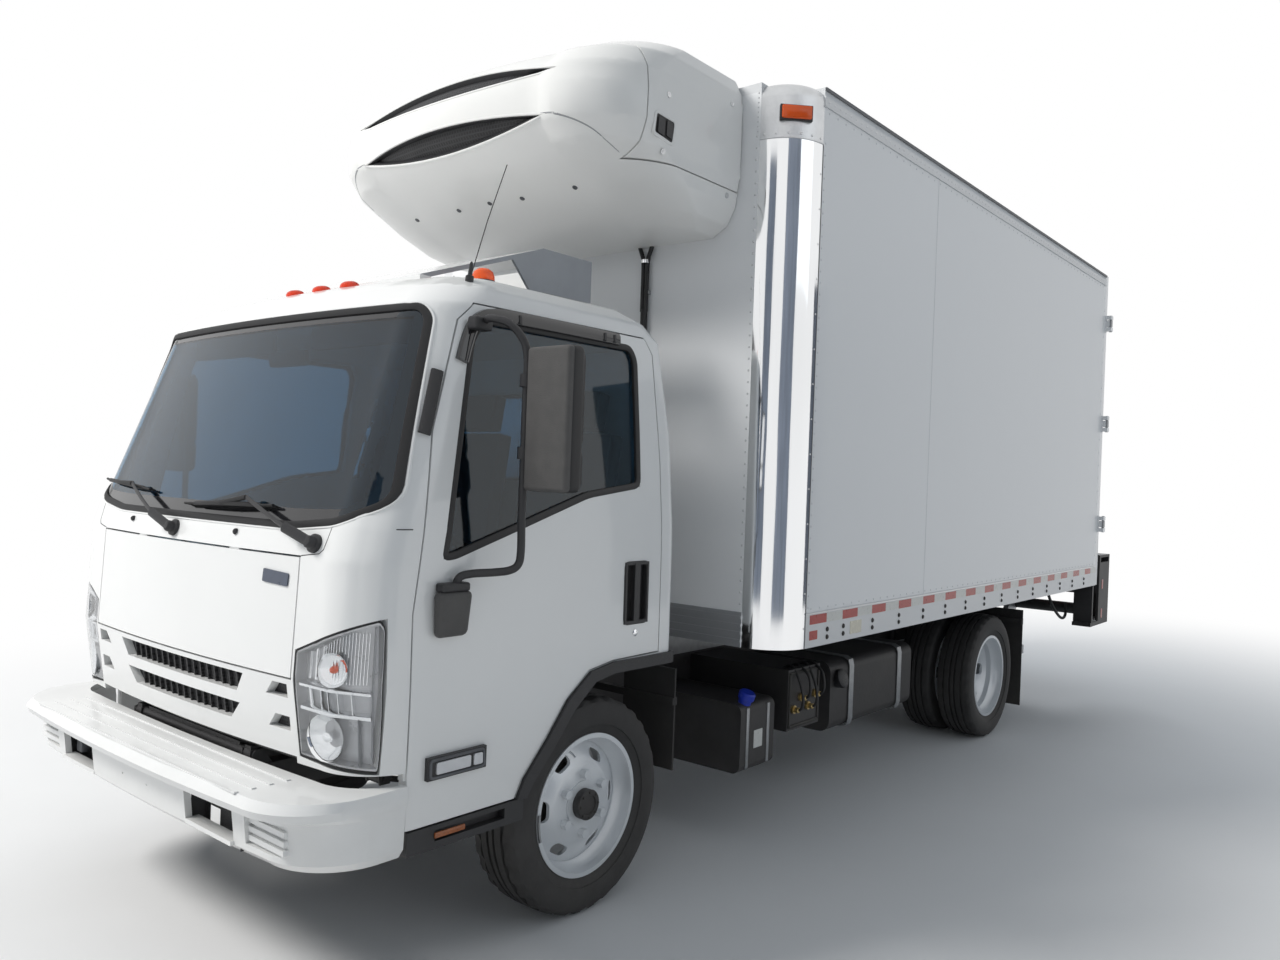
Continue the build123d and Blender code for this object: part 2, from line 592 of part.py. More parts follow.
def cab():
    outer = plan_loft(CAB_SECTIONS)
    # The inner form stops a wall's thickness under the roof
    inner_rows = [list(row) for row in CAB_SECTIONS]
    for row in inner_rows[-3:]:
        row[0] -= CAB_T
    inner_rows[-4][0] -= CAB_T / 2
    inner = plan_loft(inner_rows, inset=CAB_T)
    shell = outer - inner
    shell -= block((-960, 960), (-2000, 2000), (0, CAB_LOW))
    shell -= block((-2000, 2000), (-2000, -902), (0, FRONT_LOW - 20))
    shell -= wheel_arch(1100)
    shell -= block((-955, 955), (0, 800), (0, CAB_BACK_LOW))
    shell -= slab(0, DOOR_LOW)
    shell -= block((-312, 312), (300, 500), (0, 1135))

    # Windscreen opening: a front view outline cut through the front wall only
    screen = [(-955, 1535), (-820, 1470), (-600, 1447), (600, 1447), (820, 1470), (955, 1535),
              (868, 2120), (835, 2158), (-835, 2158), (-868, 2120)]
    ahead = (-1300, -690)
    screen_cut = front_plate(screen, *ahead)
    glass_cut = front_plate(inset_outline(screen, SEAT_GAP), *ahead)
    back_window = block((-480, 480), (300, 500), (1600, 1990))
    back_glass = block((-480 + SEAT_GAP, 480 - SEAT_GAP), (300, 500), (1600 + SEAT_GAP, 1990 - SEAT_GAP))

    lid_cut = block((-LID_HALF, LID_HALF), (-1300, -1000), (LID_LOW, LID_TOP))
    lid_gap = block((-LID_HALF - PANEL_GAP, LID_HALF + PANEL_GAP), (-1300, -1000),
                    (LID_LOW - PANEL_GAP, LID_TOP + PANEL_GAP))
    grille_cut = block((-LID_HALF, LID_HALF), (-1300, -1020), (CAB_LOW, LID_LOW - PANEL_GAP))
    lamp_edge = [(705, 750), (985, FRONT_LOW - 18), (1010, FRONT_LOW - 18), (1010, 1200), (985, 1194),
                 (705, 1078)]
    lamp_cut = front_plate(lamp_edge, -1300, -975)

    door_cut = door_region(880, 1100, PANEL_GAP)
    door_form = door_region(880, 1100, 0)
    left_door = (shell & door_form) - window_region(850, 1100, 0)
    openings = [screen_cut, back_window, lid_gap, grille_cut, lamp_cut, opposite(lamp_cut),
                door_cut, opposite(door_cut)]
    body = shell
    for opening in openings:
        body -= opening

    roof = body & slab(ROOF_SPLIT, 2400)
    rest = body & slab(0, ROOF_SPLIT)
    back = rest & block((-1100, 1100), (330, 500), (0, 3000))
    rest = rest - block((-1100, 1100), (330, 500), (0, 3000))
    front = rest & slab(0, 1446) & block((-1100, 1100), (-1300, -885), (0, 3000))
    sides = rest - block((-1100, 1100), (-1300, -885), (0, 1446))
    # Hinge leaves of the doors and of the lid, on the front panel
    for z in (700, 1150):
        leaf = block((965, 990), (DOOR_FRONT - PANEL_GAP - 2, DOOR_FRONT - SEAT_GAP), (z, z + 60))
        front += leaf
        front += opposite(leaf)
    for side in (-1, 1):
        x0, x1 = sorted((side * 300, side * 360))
        front += block((x0, x1), (LID_HINGE_Y + 16, LID_HINGE_Y + 34),
                       (LID_TOP + SEAT_GAP, LID_TOP + PANEL_GAP + 2))
    keep("cab_roof", roof)
    keep("cab_back", back)
    keep("cab_front", front)
    keep("cab_sides", sides)
    keep("cab_glass", shell_skin(outer, 6, 22) & glass_cut, back_glass & shell_skin(outer, 16, 26))

    # Handle: a raised bezel with a pocket and an upright grip. Lamp: a raised body on the skin.
    proud = plan_loft(CAB_SECTIONS, inset=-6) & slab(600, 1400)
    y0, y1 = HANDLE_Y
    z0, z1 = HANDLE_Z
    left_door += proud & block((940, 1100), (y0, y1), (z0, z1))
    left_door -= block((982, 1100), (y0 + 10, y1 - 10), (z0 + 10, z1 - 10))
    grip = block((996, 1009), ((y0 + y1) / 2 - 16, (y0 + y1) / 2 + 16), (z0 + 4, z1 - 4))
    left_door += grip
    side_lamp = plan_loft(CAB_SECTIONS, inset=-16) & block((940, 1100), (-834, -600), (688, 758))
    left_door += side_lamp
    keep("door_left", left_door)
    keep("door_right", opposite(left_door))
    glass = shell_skin(outer, 14, 20) & window_region(850, 1100, SEAT_GAP)
    keep("door_glass_left", glass)
    keep("door_glass_right", opposite(glass))

    # The lid is the front skin under the windscreen
    lid = shell_skin(outer, 0, 28) & lid_cut
    keep("front_lid", lid)
    grille_panel(outer, grille_cut)
    lamp = shell_skin(outer, 2, 43) & lamp_cut
    lamps = [lamp, opposite(lamp)]
    for x in (-185, 0, 185):
        lamps.append(Pos(x, -612, 2297) * Sphere(34) - outer)
    keep("cab_lamps", *lamps)
    cab_trim()
    inside = plan_loft(inner_rows, inset=CAB_T + SEAT_GAP)
    cab_floor(inside)
    interior(inside)


def shell_skin(outer, depth0, depth1):
    """The layer of the cab's wall between two depths under its outer surface."""
    layer = plan_loft(CAB_SECTIONS, inset=depth0) if depth0 else outer
    return layer - plan_loft(CAB_SECTIONS, inset=depth1)


def grille_panel(outer, region):
    """White bars of the grille panel with dark mesh behind its slots."""
    # Slot outlines in the front view: bottom z, top z, half width at the bottom and at the top
    slots = [(905, 968, 395, 440), (808, 866, 345, 405)]
    panel = shell_skin(outer, 0, 30) & region & slab(FRONT_LOW, LID_LOW)
    for z0, z1, low, high in slots:
        panel -= front_plate([(-low, z0), (low, z0), (high, z1), (-high, z1)], -1300, -1000)
    for side in (-1, 1):
        for z0, z1 in ((925, 968), (822, 866)):
            panel -= front_plate([(side * 560, z0), (side * 672, z0), (side * 672, z1), (side * 600, z1)],
                                 -1300, -1000)
    mesh = shell_skin(outer, 30, 40) & region & slab(CAB_LOW + 8, LID_LOW - PANEL_GAP)
    fins = shell_skin(outer, 20, 31)
    for z0, z1, low, high in slots:
        count = int(low // FIN_PITCH)
        for i in range(-count, count + 1):
            x = i * FIN_PITCH
            mesh += fins & block((x - 3, x + 3), (-1300, -1000), (z0 + SEAT_GAP, z1 - SEAT_GAP))
    keep("grille_panel", panel)
    keep("grille_mesh", mesh)


def cab_floor(inside):
    """Footwell floor, wheel wells, seat deck and the tunnel over the engine."""
    t = FLOOR_T
    low = CAB_LOW + SEAT_GAP
    deck = CAB_BACK_LOW + SEAT_GAP
    outline = [(-1045, low), (-525, low), (-470, low + 25), (-330, 880), (-230, deck), (352, deck),
               (352, deck + t), (-250, deck + t), (-360, 880 + t), (-495, low + t + 25), (-530, low + t),
               (-1045, low + t)]
    floor = side_plate(outline, -930, 930)
    floor -= block((-312, 312), (-640, 400), (0, 1135))
    floor += block((-340, 340), (-668, 352), (low, TUNNEL_TOP)) - block((-312, 312), (-640, 400), (0, 1135))
    floor = floor & inside
    # Pivot tube under the floor's front edge, with its two arms
    floor += block((-330, 330), (CAB_PIVOT_Y - 10, CAB_PIVOT_Y + 30), (CAB_PIVOT_Z, low + 2))
    for side in (-1, 1):
        x0, x1 = sorted((side * 374, side * 411))
        floor += round_x(CAB_PIVOT_Y, CAB_PIVOT_Z, PIVOT_R + 4, x0, x1)
        floor += block((x0, x1), (CAB_PIVOT_Y - 15, CAB_PIVOT_Y + 30), (CAB_PIVOT_Z, low + 2))
    floor += round_x(CAB_PIVOT_Y, CAB_PIVOT_Z, PIVOT_R, -430, 430)
    keep("cab_floor", floor)


def doors_trim():
    """Mirrors with their arms and bases, and the roof fittings of the cab."""
    tube_r = 13.0
    route = [(968, -628, 2120), (1060, -640, 2112), (1115, -578, 2050), (1115, -575, 1400),
             (1080, -640, 1330), (1015, -730, 1290)]
    path = FilletPolyline(*route, radius=[34, 34, 34, 30], close=False)
    tube = sweep(Plane(origin=path @ 0, z_dir=path % 0) * Circle(tube_r), path=path)
    head = block((1132, 1335), (-606, -520), (1580, 2035))
    head = fillet(head.edges().filter_by(Axis.Z), 22)
    head = fillet(head.edges().group_by(Axis.Z)[-1], 18)
    base = block((985, 1046), (-835, -700), (1150, 1310))
    mirror_solid = tube + head + base
    for z in (1700, 1930):
        mirror_solid += block((1105, 1140), (-592, -560), (z - 14, z + 14))
    mirror_solid += block((915, 990), (-688, -612), (2085, 2130))
    mirror_solid -= plan_loft(CAB_SECTIONS, inset=-SEAT_GAP)
    keep("mirror_left", mirror_solid)
    keep("mirror_right", opposite(mirror_solid))


def box_body():
    half = BOX_HALF
    inner = half - WALL_T
    wall_front = BOX_FRONT + FRONT_WALL_T
    # Floor: insulated slab, cross sills and two long sills on the frame
    floor = block((-inner, inner), (wall_front, BOX_REAR - REAR_FRAME_T), (FLOOR_LOW, FLOOR_TOP))
    pitch = (BOX_REAR - REAR_FRAME_T - wall_front - 160) / (CROSS_COUNT - 1)
    for i in range(CROSS_COUNT):
        y = wall_front + 80 + pitch * i
        floor += block((-inner, inner), (y - 22, y + 22), (BOX_LOW - 10, FLOOR_LOW + 1))
    for side in (-1, 1):
        x0, x1 = sorted((side * (RAIL_OUT - RAIL_FLANGE), side * RAIL_OUT))
        floor += block((x0, x1), (wall_front, RAIL_REAR), (RAIL_TOP, FLOOR_LOW + 1))
    keep("box_floor", floor)

    # Front wall with its ribbed lower rail
    front = block((-half + POST_R, half - POST_R), (BOX_FRONT, wall_front), (BOX_LOW + RAIL_HEIGHT, BOX_TOP - 40))
    front += block((-half + POST_R, half - POST_R), (BOX_FRONT - 4, wall_front),
                   (BOX_LOW, BOX_LOW + RAIL_HEIGHT))
    for i in range(4):
        z = BOX_LOW + 22 + i * 34
        front += block((-half + POST_R, half - POST_R), (BOX_FRONT - 10, BOX_FRONT), (z, z + 12))
    keep("box_front_wall", front)

    # Side walls with their lower rails and roof rails
    y0 = BOX_FRONT + POST_R
    side_wall = block((inner, half), (y0, BOX_REAR - REAR_FRAME_T), (BOX_LOW, BOX_TOP - 38))
    side_wall += block((half - 1, half + 5), (y0, BOX_REAR - REAR_FRAME_T), (BOX_LOW, BOX_LOW + RAIL_HEIGHT))
    side_wall += block((half - 1, half + 4), (y0, BOX_REAR - REAR_FRAME_T), (BOX_TOP - ROOF_RAIL, BOX_TOP - 38))
    keep("box_side_walls", side_wall, opposite(side_wall))

    # Roof, with its edge over the side walls
    roof = block((-half, half), (y0, BOX_REAR - REAR_FRAME_T), (BOX_TOP - 38, BOX_TOP))
    roof += block((-half + POST_R, half - POST_R), (BOX_FRONT, y0), (BOX_TOP - 40, BOX_TOP))
    roof += block((-inner, inner), (y0, BOX_REAR - REAR_FRAME_T), (BOX_TOP - WALL_T, BOX_TOP - 30))
    roof += block((-half + POST_R, half - POST_R), (wall_front, y0 + 1), (BOX_TOP - WALL_T, BOX_TOP - 30))
    keep("box_roof", roof)

    # Polished corner posts and the cast caps over them
    keep("corner_posts", corner_column(POST_R, 24.0, BOX_LOW, CAP_LOW),
         opposite(corner_column(POST_R, 24.0, BOX_LOW, CAP_LOW)))
    cap = corner_column(POST_R, 30.0, CAP_LOW, BOX_TOP - CAP_ROUND)
    centre = (BOX_HALF - POST_R, BOX_FRONT + POST_R)
    dome_face = Face(Wire([
        Line((0, 0, BOX_TOP - CAP_ROUND), (POST_R, 0, BOX_TOP - CAP_ROUND)),
        ThreePointArc((POST_R, 0, BOX_TOP - CAP_ROUND),
                      (POST_R - CAP_ROUND * 0.293, 0, BOX_TOP - CAP_ROUND * 0.293),
                      (POST_R - CAP_ROUND, 0, BOX_TOP)),
        Line((POST_R - CAP_ROUND, 0, BOX_TOP), (0, 0, BOX_TOP)),
        Line((0, 0, BOX_TOP), (0, 0, BOX_TOP - CAP_ROUND))]))
    dome = Pos(*centre, 0) * revolve(dome_face, axis=Axis.Z, revolution_arc=360)
    cap += dome & block((centre[0], BOX_HALF + 1), (BOX_FRONT - 1, centre[1]), (CAP_LOW, BOX_TOP + 1))
    keep("corner_caps", cap, opposite(cap))

    # Rear frame: posts, header and a deep sill
    frame_y = (BOX_REAR - REAR_FRAME_T, BOX_REAR)
    rear = block((-half, half), frame_y, (BOX_LOW, BOX_TOP))
    rear -= block((-JAMB_X, JAMB_X), (BOX_REAR - 100, BOX_REAR + 50), (SILL_TOP, HEADER_LOW))
    rear += block((-inner, inner), (BOX_REAR - REAR_FRAME_T, BOX_REAR - 20), (BOX_LOW - 20, SILL_TOP))
    for side in (-1, 1):
        for z in hinge_heights():
            x0, x1 = sorted((side * (half - 14), side * (BOX_HINGE_X + 14)))
            for low in (z - 62, z + 30):
                rear += block((x0, x1), (BOX_REAR - 8, BOX_HINGE_Y + 14), (low, low + 30))
            rear -= round_z(side * BOX_HINGE_X, BOX_HINGE_Y, PIN_R + 0.5, z - 70, z + 70)
    keep("rear_frame", rear)

    # One rear door: panel, three hinge straps with pins, lock bar with its handle
    low = SILL_TOP + PANEL_GAP + 4
    high = HEADER_LOW - PANEL_GAP
    door = block((9, JAMB_X - PANEL_GAP), (BOX_REAR - DOOR_T, BOX_REAR), (low, high))
    for z in hinge_heights():
        door += block((JAMB_X - 260, BOX_HINGE_X), (BOX_REAR + SEAT_GAP, BOX_REAR + 14), (z - 26, z + 24))
        door += block((JAMB_X - 260, JAMB_X - 20), (BOX_REAR - 1, BOX_REAR + 1), (z - 26, z + 24))
        door += block((BOX_HINGE_X - 14, BOX_HINGE_X + 12), (BOX_REAR + 4, BOX_HINGE_Y + 10), (z - 26, z + 24))
        door += round_z(BOX_HINGE_X, BOX_HINGE_Y, PIN_R, z - 66, z + 64)
    bar_x = 150.0
    door += round_z(bar_x, BOX_REAR + 24, 14, low + 8, high - 8)
    for z in (low + 60, 1500, 2300, high - 60):
        door += block((bar_x - 30, bar_x + 30), (BOX_REAR - 1, BOX_REAR + 34), (z - 18, z + 18))
    door += block((bar_x, bar_x + 300), (BOX_REAR + 14, BOX_REAR + 26), (1480, 1510))
    keep("box_door_left", door)
    keep("box_door_right", opposite(door))


def hinge_heights():
    """Middle heights of the rear door hinges."""
    span = HEADER_LOW - SILL_TOP
    return [SILL_TOP + span * share for share in (0.12, 0.5, 0.88)]


def corner_column(radius, thick, z0, z1):
    """A quarter-round column wall at the box's front left corner."""
    x_in = BOX_HALF - radius
    y_in = BOX_FRONT + radius
    round_wall = round_z(x_in, y_in, radius, z0, z1)
    if thick < radius:
        round_wall -= round_z(x_in, y_in, radius - thick, z0 - 1, z1 + 1)
    return round_wall & block((x_in, BOX_HALF + 1), (BOX_FRONT - 1, y_in), (z0, z1))


# Refrigeration unit, z, front, bow, flat, half, corner, rear, rear corner
UNIT_SECTIONS = [
    (BOX_TOP - 651, 560, 20, 560, 800, 120, BOX_FRONT, 20),
    (BOX_TOP - 608, 400, 26, 560, 872, 190, BOX_FRONT, 20),
    (BOX_TOP - 533, 215, 34, 560, 912, 250, BOX_FRONT, 20),
    (BOX_TOP - 418, -20, 50, 560, 930, 270, BOX_FRONT, 20),
    (BOX_TOP - 333, -98, 56, 560, 934, 280, BOX_FRONT, 20),
    (BOX_TOP - 223, -116, 60, 560, 935, 290, BOX_FRONT, 20),
    (BOX_TOP - 133, -92, 60, 560, 933, 290, BOX_FRONT, 20),
    (BOX_TOP - 43, 0, 60, 560, 926, 290, BOX_FRONT, 20),
    (BOX_TOP + 27, 150, 60, 560, 890, 250, BOX_FRONT, 20),
    (BOX_TOP + 69, 330, 60, 540, 800, 200, BOX_FRONT, 20),
]


def unit_slot(half, tip, top, bottom):
    """A lens-shaped grille slot between two arcs, from its tips' half width and its heights."""
    left = (-half, -400, tip)
    right = (half, -400, tip)
    edges = [ThreePointArc(left, (0, -400, top), right), ThreePointArc(right, (0, -400, bottom), left)]
    return extrude(Face(Wire(edges)), amount=600, dir=(0, 1, 0))


def unit():
    outer = plan_loft(UNIT_SECTIONS)
    rows = [list(row) for row in UNIT_SECTIONS]
    rows[0][0] += UNIT_T
    rows[-1][0] -= UNIT_T
    for row in rows:
        row[6] += 2 * UNIT_T
    inner = plan_loft(rows, inset=UNIT_T)
    shell = outer - inner
    # Grille slots in the nose: half width at the tips, heights of the tips, the top and the bottom
    slots = [(602, BOX_TOP - 326, BOX_TOP - 290, BOX_TOP - 390), (652, BOX_TOP - 152, BOX_TOP - 74, BOX_TOP - 178)]
    for slot in slots:
        shell -= unit_slot(*slot)
    # Grille mesh behind the slots
    behind = plan_loft(rows, inset=UNIT_T + SEAT_GAP) - plan_loft(rows, inset=UNIT_T + 12)
    meshes = []
    for half, tip, top, bottom in slots:
        window = block((-half - 20, half + 20), (-400, 230), (bottom - 20, top + 20))
        meshes.append(behind & window)
    keep("unit_grilles", *meshes)
    region = block((UNIT_DOOR_X, 1100), (UNIT_DOOR_FRONT, UNIT_DOOR_REAR), (UNIT_DOOR_LOW, BOX_TOP + 127))
    gap = block((UNIT_DOOR_X - PANEL_GAP, 1100), (UNIT_DOOR_FRONT - PANEL_GAP, UNIT_DOOR_REAR + PANEL_GAP),
                (UNIT_DOOR_LOW - PANEL_GAP, BOX_TOP + 127))
    door = shell & region
    shell -= gap
    shell -= opposite(gap)
    for z in (BOX_TOP - 413, BOX_TOP - 133):
        boss = block((UNIT_HINGE_X - 30, UNIT_HINGE_X - 8), (UNIT_DOOR_REAR + SEAT_GAP, UNIT_DOOR_REAR + PANEL_GAP + 2),
                     (z, z + 50))
        shell += boss
        shell += opposite(boss)
    keep("unit_shell", shell)
    keep("unit_door_left", door)
    keep("unit_door_right", opposite(door))
    core = block((-640, 640), (260, BOX_FRONT), (BOX_TOP - 583, BOX_TOP - 43))
    core += block((-600, 600), (60, 262), (BOX_TOP - 413, BOX_TOP - 73))
    core = core & plan_loft(rows, inset=UNIT_T + 14)
    keep("unit_core", core)


def under_body():
    """Engine, drive shaft, exhaust filter, tanks and flaps."""
    engine = block((-ENGINE_HALF, ENGINE_HALF), (-520, ENGINE_REAR), (500, 1080))
    keep("engine", engine)
    gearbox = round_y(0, 640, 150, ENGINE_REAR + SEAT_GAP, 900)
    flange_rear = PINION_Y - SEAT_GAP
    flange = round_y(0, AXLE_Z, 58, flange_rear - 16, flange_rear)
    start = Vector(0, 890, 640)
    end = Vector(0, flange_rear - 8, AXLE_Z)
    line = end - start
    tube = Cylinder(45, line.length)
    place = Plane(origin=start + line * 0.5, z_dir=line.normalized())
    shaft = gearbox + place * tube + flange
    keep("drive_shaft", shaft)
    can = round_y(-650, 560, 150, 1300, 2250)
    can += block((-650, -RAIL_OUT), (1500, 1540), (600, 640))
    can += block((-650, -RAIL_OUT), (2000, 2040), (600, 640))
    can += round_y(-650, 560, 45, 2249, 2900)
    # Fuel tank on the left rail, fluid tank and valve box ahead of it
    fuel = block((RAIL_OUT + SEAT_GAP, 900), (1900, 2900), (330, 700))
    fuel = fillet(fuel.edges().filter_by(Axis.Y), 60)
    fluid = block((RAIL_OUT + SEAT_GAP, 985), (930, 1210), (330, 640))
    fluid = fillet(fluid.edges().filter_by(Axis.Y), 40)
    valves = block((RAIL_OUT + SEAT_GAP, 1000), (1300, 1600), (460, 750))
    battery = block((-960, -RAIL_OUT - SEAT_GAP), (700, 1180), (420, 740))
    keep("side_units", fuel, fluid, valves, battery, can)
    flaps = []
    for side in (-1, 1):
        x0, x1 = sorted((side * 660, side * 935))
        stay0, stay1 = sorted((side * RAIL_OUT, side * 935))
        flap = block((x0, x1), (500, 510), (430, 850))
        flap += block((stay0, stay1), (490, 520), (700, 730))
        flaps.append(flap)
        x0, x1 = sorted((side * 560, side * 1085))
        stay0, stay1 = sorted((side * RAIL_OUT, side * 1085))
        flap = block((x0, x1), (WHEELBASE + 520, WHEELBASE + 530), (130, 800))
        flap += block((stay0, stay1), (WHEELBASE + 505, WHEELBASE + 535), (700, 740))
        flaps.append(flap)
    keep("mud_flaps", *flaps)


def lift_gate():
    """Bed extension behind the box with its two step posts, and the platform folded below."""
    y0 = BOX_REAR + SEAT_GAP
    bed = block((-1050, 1050), (y0, STEP_REAR - 20), (FLOOR_TOP - 70, FLOOR_TOP - 40))
    bed += block((-1050, 1050), (y0, y0 + 16), (BOX_LOW - 80, FLOOR_TOP - 42))
    bed += round_x(y0 + 50, 700, 45, -1060, 1060)
    for side in (-1, 1):
        x0, x1 = sorted((side * 640, side * 670))
        bed += block((x0, x1), (y0, y0 + 60), (700, BOX_LOW))
        x0, x1 = sorted((side * 1049, side * 1190))
        post = block((x0, x1), (STEP_REAR - 290, STEP_REAR), (570, 1138))
        web0, web1 = sorted((side * 1000, side * 1170))
        post -= block((web0, web1), (STEP_REAR - 310, STEP_REAR - 30), (600, 830))
        post -= block((x0 - 1, x1 + 1), (STEP_REAR - 260, STEP_REAR - 30), (1078, 1118))
        bed += post
        # Step tread and its strut to the sill
        bed += block((x0, x1), (BOX_REAR - 26, STEP_REAR), (570, 600))
        bed += block((x0, x1), (y0, y0 + 30), (590, BOX_LOW - 10))
    keep("lift_frame", bed)
    deck0 = BOX_REAR - 1106
    deck1 = BOX_REAR - 286
    platform = block((-760, 760), (deck0, deck1), (330, 400))
    platform += block((-700, 700), (deck0 + 80, deck1 - 80), (405, 450))
    platform += block((-60, 60), (deck0 + 140, deck1 - 180), (399, 406))
    for side in (-1, 1):
        x0, x1 = sorted((side * 540, side * 580))
        platform += side_plate([(deck1 - 180, 410), (deck1 - 40, 410), (y0 + 50, 650), (y0 + 50, 748),
                                (y0 - 66, 740)], x0, x1)
    platform -= round_x(y0 + 50, 700, 45 + SEAT_GAP, -800, 800)
    keep("lift_platform", platform)


def lamps():
    tail = []
    for side in (-1, 1):
        x0, x1 = sorted((side * 760, side * 1020))
        tail.append(block((x0, x1), (BOX_REAR + 2 * SEAT_GAP + 16, BOX_REAR + 45), (BOX_LOW - 60, BOX_LOW - 10)))
    for x in (-1120, -150, 0, 150, 1120):
        tail.append(block((x - 50, x + 50), (BOX_REAR + SEAT_GAP, BOX_REAR + 14), (HEADER_LOW + 35, HEADER_LOW + 70)))
    keep("box_lamps", *tail)


def interior(inside):
    """Dashboard with the steering wheel, and the seats on their boxes."""
    dash = side_plate([(-1040, 1180), (-760, 1230), (-700, 1180), (-700, 1010), (-800, 900), (-1040, 900)],
                      -920, 920)
    dash = dash & inside
    deck = CAB_BACK_LOW + FLOOR_T + 2 * SEAT_GAP
    seats = []
    # Driver's seat and a two-place bench: x range of the cushion, x range of the box under it
    for x, box_x in (((300, 830), (342, 800)), ((-840, 180), (-810, -342))):
        seat = block(x, (-300, 215), (TUNNEL_TOP + SEAT_GAP, TUNNEL_TOP + 130))
        seat += side_plate([(120, TUNNEL_TOP + 40), (235, TUNNEL_TOP + 40), (325, 1790), (235, 1800)],
                           x[0] + 15, x[1] - 15)
        seat += block(box_x, (-220, 200), (deck, TUNNEL_TOP + 2))
        seats.append(seat)
    keep("seats", *seats)
    place = Pos(560, -560, 1400) * Rot(-28, 0, 0)
    wheel = place * (Torus(205, 15) + Cylinder(60, 40))
    for angle in (90, 210, 330):
        wheel += place * Rot(0, 0, angle) * block((50, 200), (-14, 14), (-10, 10))
    wheel += (place * round_z(0, 0, 32, -330, 0)) - dash
    keep("dashboard", dash, wheel)


def roof_fittings():
    roof_top = CAB_SECTIONS[-1][0]
    foot = roof_top + SEAT_GAP
    wedge = side_plate([(-550, 2316), (60, 2530), (60, 2548), (-550, 2334)], -520, 520)
    for side in (-1, 1):
        x0, x1 = sorted((side * 520, side * 508))
        wedge += block((x0, x1), (59, 350), (2372, 2548))
        wedge += side_plate([(40, foot), (60, foot), (60, 2531), (-110, 2479)], x0, x1)
    wedge += block((-520, 520), (338, 350), (2372, 2548))
    # The wedge's front edge stands on the roof's slope
    lip = side_plate([(-550, 2290), (-550, 2330), (-500, 2340), (-500, 2290)], -520, 520)
    wedge += lip - plan_loft(CAB_SECTIONS, inset=-SEAT_GAP)
    keep("roof_deflector", wedge)


def write_all():
    os.makedirs("parts", exist_ok=True)
    for name, shapes in PARTS.items():
        solids = []
        for shape in shapes:
            solids.extend(shape.solids())
        moved = [Pos(0, SHIFT, 0) * s for s in solids]
        if len(moved) == 1:
            whole = moved[0]
        else:
            whole = Compound(children=moved)
        export_step(whole, "parts/" + name + ".step")


if __name__ == "__main__":
    wheels()
    running_gear()
    frame()
    bumper()
    cab()
    doors_trim()
    roof_fittings()
    box_body()
    unit()
    under_body()
    lift_gate()
    lamps()
    write_all()
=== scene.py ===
import math

import bmesh
import bpy
from mathutils import Matrix, Vector
from mathutils.bvhtree import BVHTree


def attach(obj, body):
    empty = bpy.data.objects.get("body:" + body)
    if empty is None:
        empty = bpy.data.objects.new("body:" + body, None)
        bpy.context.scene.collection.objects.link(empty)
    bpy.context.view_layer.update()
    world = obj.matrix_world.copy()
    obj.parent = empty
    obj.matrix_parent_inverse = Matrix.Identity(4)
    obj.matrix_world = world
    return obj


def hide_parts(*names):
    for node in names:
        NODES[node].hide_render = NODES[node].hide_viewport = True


# A refrigerated cab-over box truck. Metres, +Z up, the cab faces -Y, the driver's side is +X.
# Shapes are drawn with y measured from the front axle. add() and hose() move them into the frame.
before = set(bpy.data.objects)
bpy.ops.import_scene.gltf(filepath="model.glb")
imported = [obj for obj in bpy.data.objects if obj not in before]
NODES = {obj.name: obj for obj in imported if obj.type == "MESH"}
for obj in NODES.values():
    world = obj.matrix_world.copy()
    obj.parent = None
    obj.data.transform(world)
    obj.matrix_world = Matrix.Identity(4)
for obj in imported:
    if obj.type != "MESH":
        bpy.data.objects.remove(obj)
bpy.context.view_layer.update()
AXLE_Y = -2.4025
TO_FRAME = Vector((0, AXLE_Y, 0))
WHEELBASE = 3.81
AXLE_Z = 0.403
# The box body's front and rear faces, and its outer rail on one side
FRONT_WALL = 0.854
BACK = 5.666
RAIL_X = 1.2235
RAIL_Y = (1.054, BACK - 0.062)
X = (1, 0, 0)
Y = (0, 1, 0)
Z = (0, 0, 1)
MIRRORED = ((1, "left"), (-1, "right"))


# Materials

def set_inputs(tree, node, inputs):
    """Give each input a value or join it to another node's socket."""
    for key, value in inputs.items():
        if isinstance(value, bpy.types.NodeSocket):
            tree.links.new(value, node.inputs[key])
        else:
            node.inputs[key].default_value = value


def add_node(tree, kind, inputs=None, **settings):
    node = tree.nodes.new(kind)
    for key, value in settings.items():
        setattr(node, key, value)
    set_inputs(tree, node, inputs or {})
    return node


def maths(tree, operation, a, b):
    return add_node(tree, "ShaderNodeMath", {0: a, 1: b}, operation=operation).outputs["Value"]


def ranged(tree, value, low, high, **ends):
    """A value between 0 and 1, or between other ends, drawn out to a new range."""
    inputs = {"Value": value, "To Min": low, "To Max": high}
    inputs.update({"From " + key.title(): end for key, end in ends.items()})
    return add_node(tree, "ShaderNodeMapRange", inputs).outputs["Result"]


def noise(tree, scale, detail=4.0, rough=0.55, stretch=(1, 1, 1)):
    """Noise on object coordinates, stretched along an axis where asked."""
    coord = add_node(tree, "ShaderNodeTexCoord").outputs["Object"]
    place = add_node(tree, "ShaderNodeMapping", {"Vector": coord, "Scale": stretch}).outputs["Vector"]
    inputs = {"Vector": place, "Scale": scale, "Detail": detail, "Roughness": rough}
    return add_node(tree, "ShaderNodeTexNoise", inputs).outputs["Fac"]


def ramp(tree, value, low, high, ends=(0.3, 0.7)):
    """A colour between two, by a value."""
    node = add_node(tree, "ShaderNodeValToRGB", {"Fac": value})
    for element, place, colour in zip(node.color_ramp.elements, ends, (low, high)):
        element.position = place
        element.color = (*colour, 1)
    return node.outputs["Color"]


